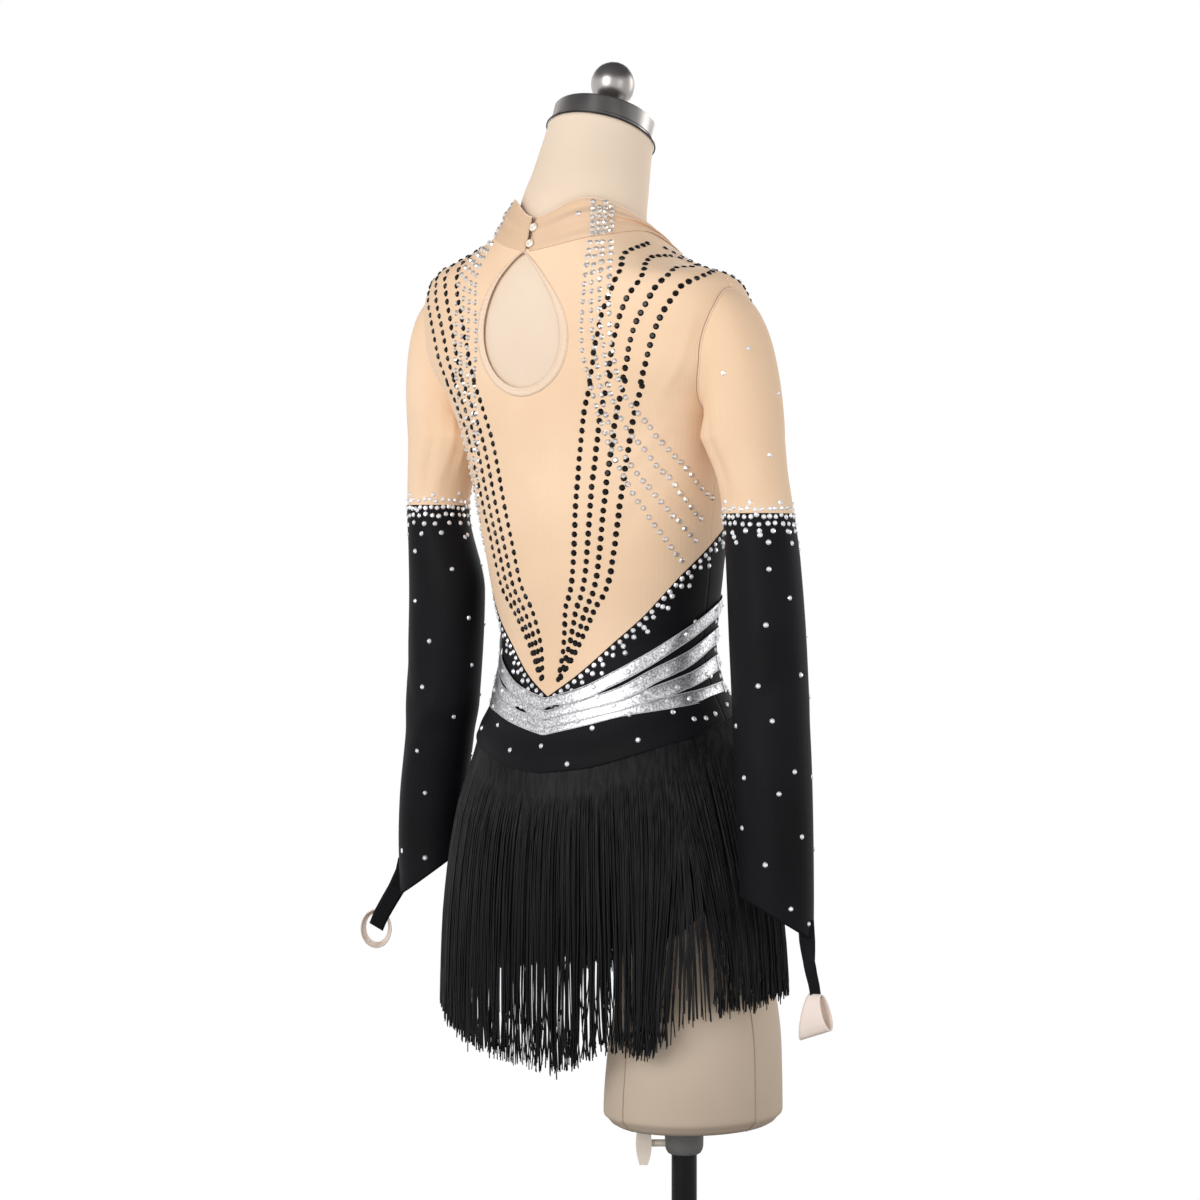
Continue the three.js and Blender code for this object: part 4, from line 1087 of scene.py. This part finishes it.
def wrapped(rows, at):
    """A grid wrapped round the form by at(angle, share of the height), open at its two rings."""
    bm = bmesh.new()
    bm.loops.layers.uv.new("cloth")
    bmesh.ops.create_grid(bm, x_segments=96, y_segments=rows, size=0.5, calc_uvs=True)
    place = np.array([vert.co for vert in bm.verts]) + 0.5
    for vert, point in zip(bm.verts, row_frame(at(place[:, 0] * 2 * np.pi, place[:, 1]))):
        vert.co = point
    bmesh.ops.remove_doubles(bm, verts=bm.verts, dist=0.00002)
    return bm


def form_cover():
    bm = wrapped(150, form_point)
    bore = pole_bore(bm, open_edges(bm, 0.6, 0.7), BORE_RADIUS + 0.5, BORE_TOP)
    bmesh.ops.holes_fill(bm, edges=bore + open_edges(bm, 1.4, 1.6), sides=0)
    stump = wrapped(60, stump_point)
    top = open_edges(stump, 0.76, 0.78)
    bore = pole_bore(stump, open_edges(stump, 0.48, 0.5), BORE_RADIUS, STUMP_TOP)
    bmesh.ops.bridge_loops(stump, edges=bore + top)
    mesh = mesh_of("stump", stump)
    bm.from_mesh(mesh)
    bpy.data.meshes.remove(mesh)
    bmesh.ops.recalc_face_normals(bm, faces=bm.faces)
    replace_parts(piece_of("form_cover", mesh_of("form_cover", bm), FORM), "form_body")


def open_edges(bm, low, high):
    """Edges of one face only, between two heights in metres."""
    return [edge for edge in bm.edges if edge.is_boundary and low < edge.verts[0].co.z < high]


def pole_bore(bm, rim, radius, top):
    """Takes a ring of edges in to a round bore about the pole, then up to its top."""
    for height in (None, top):
        made = bmesh.ops.extrude_edge_only(bm, edges=rim)["geom"]
        rim = [part for part in made if isinstance(part, bmesh.types.BMEdge) and part.is_boundary]
        for vert in {vert for edge in rim for vert in edge.verts}:
            across = Vector((vert.co.x, vert.co.y)).normalized() * radius * MM
            vert.co = (across.x, across.y, vert.co.z if height is None else height * MM)
    return rim


def stump_point(phi, v, out=0.0):
    z = 488 + (STUMP_TOP - 488) * v**1.35
    under = 10.0 * np.sqrt(np.clip(1 - ((z - 488) / 10) ** 2, 0, 1)) * (z < 498)
    lift = out - under * 0.45
    x = STUMP_X(z) - (STUMP_BREADTH(z) + lift) * np.sin(phi)
    return points_of(x, STUMP_Y(z) + (STUMP_DEPTH(z) + lift) * np.cos(phi), z)


def form_seams():
    """Raised seams of the form's cover on the thigh and down the back."""
    paths = []
    v = np.linspace(0.0, 1, 60)
    for degrees in (-9, 84, 165, -100):
        paths.append((stump_point(np.full_like(v, math.radians(degrees)), v, 0.25), None))
    tubes("form_seams", paths, FORM_THREAD, 0.42, sides=1)


def on_neck(along):
    up = Vector((0, -math.sin(NECK_TILT), math.cos(NECK_TILT)))
    base = Vector(row_frame(NECK_TOP)) + up * along * MM
    return Matrix.Translation(base) @ Matrix.Rotation(NECK_TILT, 4, "X")


def neck_fittings():
    rows = [
        (0, 0.2), (51.4, 0.2), (52, 0.8), (52, 3.0), (51.2, 3.6), (51.2, 4.4), (52, 5.0), (52, 20.4),
        (51.0, 21.8), (48, 22.6), (20, 24.4), (0, 24.8),
    ]
    spun("neck_plate", "neck_cap", rows, STEEL, steps=96, place=on_neck(0.3))
    rows = [(0, 0), (12, 0), (12, 2.5), (9.4, 3.5), (8.4, 5), (8.4, 8), (9.4, 10.5)]
    radius, middle = 22.5, 14 + 22.5 * 0.86
    for k in range(1, 29):
        turn = math.pi * (0.86 - 0.86 * k / 28)
        rows.append((radius * math.sin(turn) if k < 28 else 0, middle + radius * math.cos(turn)))
    wire = neck_ring(np.linspace(0, 2 * np.pi, 97), 55.2)
    tubes("neck_wire", [(wire, None)], DARK_STEEL, 0.8, sides=2)
    spun("neck_ball", "neck_knob", rows, STEEL, place=on_neck(25.6))


POLE_OUTLINE = [(0, 6.4), (12.5, 6.4), (12.5, 639.4), (11.9, 640), (0, 640)]
BASE_OUTLINE = [
    (0, 0), (213.6, 0), (215, 1.4), (215, 3.6), (213, 5.6), (210, 6), (30, 6), (28, 6), (0, 6),
]
COLLAR_OUTLINE = [
    (13.1, 456), (14.6, 456), (16.4, 457.2), (18.2, 460.5), (18.9, 464), (19.3, 486.7), (18.6, 487.6),
    (13.1, 487.6), (13.1, 456),
]


def stand():
    spun("black_pole", "pole", POLE_OUTLINE, POLE_PAINT, "stand", 48)
    spun("round_base", "base_plate", BASE_OUTLINE, GREY_PAINT, "stand", 96)
    spun("grey_collar", "pole_collar", COLLAR_OUTLINE, GREY_PAINT, "carriage")
    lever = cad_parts["clamp_screw"]
    lever.data.materials.clear()
    lever.data.materials.append(PLASTIC)


# Stones

def stone_shape():
    bm = bmesh.new()
    bmesh.ops.create_cone(bm, segments=8, radius1=1.0, radius2=0.5, depth=0.5, cap_ends=True)
    bmesh.ops.translate(bm, verts=bm.verts, vec=(0, 0, 0.2))
    return mesh_of("stone", bm)


def hit(names, origin, direction):
    """Nearest place and normal where a ray in the row frame meets the named cloths."""
    best = None
    for name in names:
        place, normal, _, distance = SURFACES[name].ray_cast(origin, direction)
        if place is not None and (best is None or distance < best[2]):
            best = (place, normal if normal.dot(direction) < 0 else -normal, distance)
    return best


def hit_between(names, outside, inside):
    start, end = Vector(row_frame(outside)[0]), Vector(row_frame(inside)[0])
    return hit(names, start, (end - start).normalized())


def seen(x, y, names):
    """Place on the cloth that the camera sees at a pixel of the photograph."""
    eye = (AIM + TOWARDS_CAMERA * CAMERA_DISTANCE) * MM
    per_pixel = SENSOR / LENS / PHOTO_SIZE
    half = PHOTO_SIZE / 2
    way = -TOWARDS_CAMERA + RIGHT_OF_CAMERA * (x - half) * per_pixel + UP * (half - y) * per_pixel
    return hit(names, eye, way.normalized())


def at_angle(degrees, z, names, lean=True):
    """Place on the body's cloth at an angle and a height before the shoulders lean."""
    phi = np.array([math.radians(degrees)])
    level = np.array([float(z)])
    outside, inside = on_body(phi, level, np.array([30.0])), on_body(phi, level, np.array([-10.0]))
    if lean:
        outside, inside = leaned(outside), leaned(inside)
    return hit_between(names, outside, inside)


def mirrored(found, names):
    """The same place on the other side of the body, with the lean allowed for."""
    place = upright((np.array(found[0]) / MM - PLACE)[None])
    place[0, 0] = -place[0, 0]
    normal = Vector((-found[1].x, found[1].y, found[1].z))
    start = Vector(row_frame(leaned(place))[0]) + normal * 30 * MM
    return hit(names, start, -normal)


def spaced(line, pitch, offset=0.0):
    """Places at an even distance along a line of hits, past any misses."""
    places, travelled, due = [], 0.0, offset
    line = [found for found in line if found]
    for (a, na, *_), (b, nb, *_) in zip(line, line[1:]):
        length = (b - a).length / MM
        while due <= travelled + length:
            t = (due - travelled) / max(length, 1e-6)
            places.append((a.lerp(b, t), na.lerp(nb, t).normalized()))
            due += pitch
        travelled += length
    return places


def along(keys):
    """Points between keys on a smooth line, for (a, b) pairs."""
    made = []
    steps = 14
    keys = [keys[0], *keys, keys[-1]]
    for k in range(1, len(keys) - 2):
        p0, p1, p2, p3 = (np.array(keys[k + j], dtype=float) for j in (-1, 0, 1, 2))
        for step in range(steps):
            t = step / steps
            made.append(
                0.5 * (2 * p1 + (p2 - p0) * t + (2 * p0 - 5 * p1 + 4 * p2 - p3) * t**2
                       + (3 * p1 - p0 - 3 * p2 + p3) * t**3)
            )
    made.append(np.array(keys[-1], dtype=float))
    return made


def set_stones(name, places, finish, radius, draw, rise=0.0):
    template = stone_shape()
    bm = bmesh.new()
    for place, normal, *_ in filter(None, places):
        size = radius * MM * draw.uniform(0.93, 1.07)
        place = place + normal * rise * MM
        tilt = Vector((draw.uniform(-0.07, 0.07), draw.uniform(-0.07, 0.07), draw.uniform(-0.07, 0.07)))
        turn = (normal + tilt).to_track_quat("Z", "Y").to_matrix().to_4x4()
        spin = Matrix.Rotation(draw.uniform(0, 3.14), 4, "Z")
        matrix = Matrix.Translation(place) @ turn @ spin @ Matrix.Scale(size, 4)
        template.transform(matrix)
        bm.from_mesh(template)
        template.transform(matrix.inverted())
    bpy.data.meshes.remove(template)
    piece_of(name, mesh_of(name, bm), finish, even=False)


MESH_NAMES = ["back_mesh", "front_mesh"]
COLLAR_NAMES = ["nude_collar"]
BLACK_NAMES = ["back_black", "front_black"]
BAND_NAMES = [f"silver_{where}_band_{name}" for where in ("back", "front") for name in ORDER]
YOKE_NAMES = ["black_back_yoke", "black_front_yoke"]
STONE_RADIUS = 2.6
JET_RADIUS = 3.35
PALE_RADIUS = 3.1
STONE_PITCH = 9.1
EDGE_STONES = [(4.5, 8.6, 0), (11.5, 13.5, 5), (19, 30, 12)]  # below the black edge, pitch, first place
CUFF_STONES = [  # height over the sleeve's join, number round it, shift as a share of their pitch
    (11, 7, 0.3), (4.5, 30, 0.0), (-2.5, 34, 0.5), (-10, 27, 0.2), (-18, 15, 0.4), (-28, 8, 0.1),
]
# Lines of black stones on the wearer's right of the back: angle and height, shoulder to waist
JET_LINES = [
    [(77, 1354), (49, 1342), (33, 1323), (27.6, 1307), (23.5, 1288), (21.7, 1273), (20.7, 1256),
     (19.6, 1239), (20.2, 1214), (20.8, 1198), (16.1, 1034), (9.6, 986), (4.4, 918)],
    [(85, 1345), (64, 1341), (47, 1328), (39, 1314), (32.7, 1297), (29.4, 1279), (27.7, 1260),
     (26.4, 1243), (26.7, 1218), (27.8, 1202), (22.3, 1034), (15, 986), (5, 921)],
    [(79, 1331), (65, 1329), (54, 1320), (46.6, 1309), (41, 1294), (36.8, 1276), (35.3, 1266),
     (33.6, 1249), (33.1, 1231), (33.7, 1213), (34.6, 1197), (28, 1034), (19.7, 986), (6, 924)],
    [(89, 1327), (63, 1312), (54.6, 1300), (48.2, 1284), (44.8, 1268), (42.6, 1251), (41.3, 1233),
     (41.7, 1214), (42.6, 1197), (34.5, 1034), (24.2, 987), (7, 927)],
]
# Lines of champagne stones on the same side, as pixels of the photograph
PALE_LINES = [
    [(611, 240), (609, 276), (609, 309), (610, 333), (613, 352), (618, 380), (627, 400), (643, 418),
     (660, 440), (684, 465), (700, 486), (715, 500)],
    [(603, 240), (600, 276), (599, 309), (601, 333), (604, 352), (608, 383), (614, 405), (625, 426),
     (641, 446), (655, 463), (674, 484), (702, 520)],
    [(597, 240), (592, 276), (591, 309), (592, 333), (596, 360), (600, 385), (606, 415), (615, 440),
     (626, 458), (643, 480), (670, 512), (698, 543)],
    [(590, 240), (585, 276), (582, 309), (581, 333), (583, 355), (590, 383), (597, 411), (606, 436),
     (616, 460), (632, 492), (655, 525), (684, 563)],
]
COLLAR_STONES = [(578, 213), (635, 210)]
YOKE_STONES = [
    (482, 728), (498, 725), (510, 750), (541, 746), (567, 764), (592, 728), (638, 740), (673, 712),
    (706, 718),
]
SLEEVE_STONES = {
    "right": [
        (734, 537), (760, 535), (790, 532), (769, 569), (790, 598), (766, 625), (801, 675), (758, 686),
        (772, 721), (736, 726), (744, 778), (795, 772), (779, 794), (742, 828), (802, 837), (765, 865),
        (791, 909), (809, 924), (764, 291), (749, 348), (723, 373), (778, 393), (770, 455),
    ],
    "left": [
        (417, 510), (415, 551), (465, 537), (452, 569), (415, 601), (469, 618), (429, 641), (472, 665),
        (422, 687), (454, 717), (417, 751), (425, 793), (425, 858),
    ],
}


def body_line(keys, side):
    return [at_angle(side * degrees, z, MESH_NAMES) for degrees, z in along(keys)]


def seen_line(keys, names):
    return [seen(x, y, names) for x, y in along(keys)]


def edge_line(below, start, end):
    """A line on the black bodice that runs below its top edge."""
    count = int(abs(end - start) / 1.5)
    found = []
    for k in range(count + 1):
        degrees = start + (end - start) * k / count
        z = float(BLACK_EDGE(abs((degrees + 180) % 360 - 180))) - below
        found.append(at_angle(degrees, z, BLACK_NAMES))
    return found


def front_lines():
    """Lines of stones down the chest, on the side that the photograph doesn't show."""
    jet, pale = [], []
    for k in range(4):
        shoulder, middle = [(92, 1352 - 8 * k), (112, 1334 - 9 * k)], (138 - 3 * k, 1290 - 6 * k)
        jet.append([*shoulder, middle, (152 - 4 * k, 1230), (168 - 3 * k, 1150)])
    for k in range(3):
        top = (150 - 5 * k, 1318 - 3 * k)
        pale.append([top, (158 - 4 * k, 1270), (166 - 3 * k, 1210), (174 - 2 * k, 1142)])
    return jet, pale


def mesh_places(draw):
    """Black stones and champagne ones on the skin coloured mesh and the collar."""
    jet, pale = [], []
    front_jet, front_pale = front_lines()
    for side in (1, -1):
        for keys in JET_LINES + front_jet:
            jet += spaced(body_line(keys, side), STONE_PITCH)
        for keys in front_pale:
            pale += spaced(body_line(keys, side), STONE_PITCH)
    for keys in PALE_LINES:
        for place, normal in spaced(seen_line(keys, ["back_mesh"]), STONE_PITCH, 2.0):
            place = (place + Vector((0, 0, draw.uniform(-1.0, 1.0) * MM)), normal)
            pale += [place, mirrored(place, MESH_NAMES)]
    for row in range(4):
        x = 593 + 6.3 * row
        line = seen_line([(x, 201 + 2 * (row % 2)), (x - 1, 238)], COLLAR_NAMES)
        for place in spaced(line, 6.2, 1.0 + 3 * (row % 2)):
            pale += [place, mirrored(place, COLLAR_NAMES)]
    return jet, pale + [seen(x, y, COLLAR_NAMES) for x, y in COLLAR_STONES]


def black_places(draw):
    """Clear stones under the black edge and on the yoke."""
    clear = []
    for below, pitch, first in EDGE_STONES:
        for start, end in ((0.6, 179), (-0.6, -179)):
            clear += spaced(edge_line(below, start, end), pitch, first)
    clear += [seen(x, y, YOKE_NAMES + BLACK_NAMES) for x, y in YOKE_STONES]
    for degrees in range(70, 291, 14):
        signed = (degrees + 180) % 360 - 180
        z = float(YOKE_BOTTOM(abs(signed))) + 8 + draw.uniform(0, 12)
        clear.append(at_angle(degrees, z, YOKE_NAMES, lean=False))
    return clear


def band_places(draw):
    """Clear stones on the silver bands and between their ends."""
    clear = []
    for index in range(4):
        for k in range(17):
            degrees = -150 + k * 19 + index * 5 + draw.uniform(-4, 4)
            z = float(BAND_MIDDLES[index](abs(degrees))) + draw.uniform(-3.5, 3.5)
            clear.append(at_angle(degrees, z, BAND_NAMES, lean=False))
    for index in range(4):
        for side in (1, -1):
            z = float(BAND_MIDDLES[index](BAND_END)) - 12.5
            clear.append(at_angle(side * (BAND_END + 1), z, BLACK_NAMES, lean=False))
            clear.append(at_angle(side * (BAND_END - 24 + 5 * index), z, BLACK_NAMES, lean=False))
    return clear


def dress_stones():
    draw = random.Random(SEED)
    jet, pale = mesh_places(draw)
    clear = black_places(draw)
    clear += band_places(draw)
    set_stones("black_stones", jet, JET_STONE, JET_RADIUS, draw)
    set_stones("champagne_stones", pale, PALE_STONE, PALE_RADIUS, draw, 0.2)
    set_stones("clear_stones", clear, CLEAR_STONE, STONE_RADIUS, draw, 0.3)


def sleeve_stones(name):
    draw = random.Random(SEED + len(name))
    names = ["black_sleeve_" + name, "nude_sleeve_" + name]
    places = []

    def on_sleeve(degrees, z):
        turn = np.array([math.radians(degrees)])
        level = np.array([float(z)])
        outside = leaned(sleeve_ring(name, turn, level, 25.0))
        return hit_between(names, outside, leaned(sleeve_ring(name, turn, level, -20.0)))

    join = SLEEVE_JOIN[name]
    for rise, count, shift in CUFF_STONES:
        for k in range(count):
            degrees = 360 * (k + shift + draw.uniform(-0.12, 0.12)) / count
            places.append(on_sleeve(degrees, join + rise + draw.uniform(-1.2, 1.2)))
    places += [seen(x, y, names) for x, y in SLEEVE_STONES[name]]
    hidden = range(-150, 0, 30)
    for row, z in enumerate(range(1040, 730, -34)):
        for k, degrees in enumerate(hidden):
            if (row + k) % 2 == 0:
                places.append(on_sleeve(degrees + draw.uniform(-8, 8), z + draw.uniform(-8, 8)))
    set_stones("sleeve_stones_" + name, places, CLEAR_STONE, STONE_RADIUS, draw)


# Room, light and camera

def pointed(made, place, way):
    """Stands a lamp or the camera at a place in metres, facing along way."""
    made.location = place
    made.rotation_mode = "QUATERNION"
    made.rotation_quaternion = way.to_track_quat("-Z", "Y")


def backdrop():
    """White round the horizon and below it, dark grey overhead, for the metal to mirror."""
    world = bpy.data.worlds.new("studio")
    bpy.context.scene.world = world
    world.use_nodes = True
    split = add_node(world, "ShaderNodeSeparateXYZ")
    ramp = two_tones(world, (0.28, 0.55), ((1, 1, 1), (0.16, 0.16, 0.17)))
    link(world, add_node(world, "ShaderNodeTexCoord"), "Generated", split, "Vector")
    link(world, split, "Z", ramp, "Fac")
    link(world, ramp, "Color", world.node_tree.nodes["Background"], "Color")


def floor():
    bm = bmesh.new()
    bmesh.ops.create_circle(bm, segments=96, radius=1.75, cap_ends=True)
    mesh = mesh_of("floor", bm)
    mesh.materials.append(new_material("grey_floor", (0.24, 0.24, 0.24), 0.8))
    in_scene("floor", mesh)


def softbox(name, place, size, power, aim=AIM, spread=180):
    light = bpy.data.lights.new(name, "AREA")
    light.spread = math.radians(spread)
    light.shape = "RECTANGLE"
    light.size, light.size_y = size
    light.energy = power
    pointed(in_scene(name, light), place * MM, (aim - place) * MM)


def studio():
    bpy.context.scene.view_settings.view_transform = "Standard"
    backdrop()
    floor()
    chest = AIM + UP * 260
    towards, right = TOWARDS_CAMERA, RIGHT_OF_CAMERA
    softbox("key", AIM + towards * 2000 - right * 1500 + UP * 900, (1.4, 1.8), 7.5, chest, 70)
    softbox("fill", AIM + towards * 2300 + right * 1700 + UP * 300, (1.2, 1.8), 1.5, chest, 80)
    softbox("rim", AIM + right * 2200 - towards * 700 + UP * 700, (0.9, 1.8), 2.6, chest, 80)
    softbox("front", AIM - towards * 2000 + right * 600 + UP * 1100, (1.6, 1.4), 14)


def camera():
    data = bpy.data.cameras.new("photo")
    data.lens = LENS
    data.sensor_width = SENSOR
    data.clip_end = 60
    eye = in_scene("photo", data)
    pointed(eye, (AIM + TOWARDS_CAMERA * CAMERA_DISTANCE) * MM, -TOWARDS_CAMERA)
    bpy.context.scene.camera = eye


camera()
studio()
back_mesh_panel()
front_mesh_panel()
keyhole_binding()
black_bodice(True)
black_bodice(False)
crotch_strip()
for where in (True, False):
    for number in range(4):
        band(number, where)
    hip_yoke(where)
    fringe_header(where)
    fringe(where)
for where in ("right", "left"):
    sleeve_mesh(where)
    sleeve_black(where)
    sleeve_tail(where)
    finger_loop(where)
    sleeve_stones(where)
collar()
closure_buttons()
form_cover()
form_seams()
neck_fittings()
stand()
dress_stones()

# Silver bands: width and length of the cut in millimetres and the share of that rectangle that the piece
# fills; below, the trims sewn to each band are named, but the list is not kept
BAND_CUTS = [(378, 15.6, 0.95), (372, 15.6, 0.96), (376, 14.6, 0.95), (378, 12.6, 0.93)]
FRONT_BAND_CUTS = [(300, 15.6, 0.94), (298, 15.6, 0.95), (298, 14.6, 0.94), (302, 13.4, 0.96)]


def declare_sheets():
    for where, cuts in (("back", BAND_CUTS), ("front", FRONT_BAND_CUTS)):
        for index, (width, length, share) in enumerate(cuts):
            name = f"{where}_band_{ORDER[index]}"
            trims = ["band_rims_" + name]
            if where == "back":
                trims += [f"band_tab_{side}_{index}" for side in ("right", "left")]


declare_sheets()
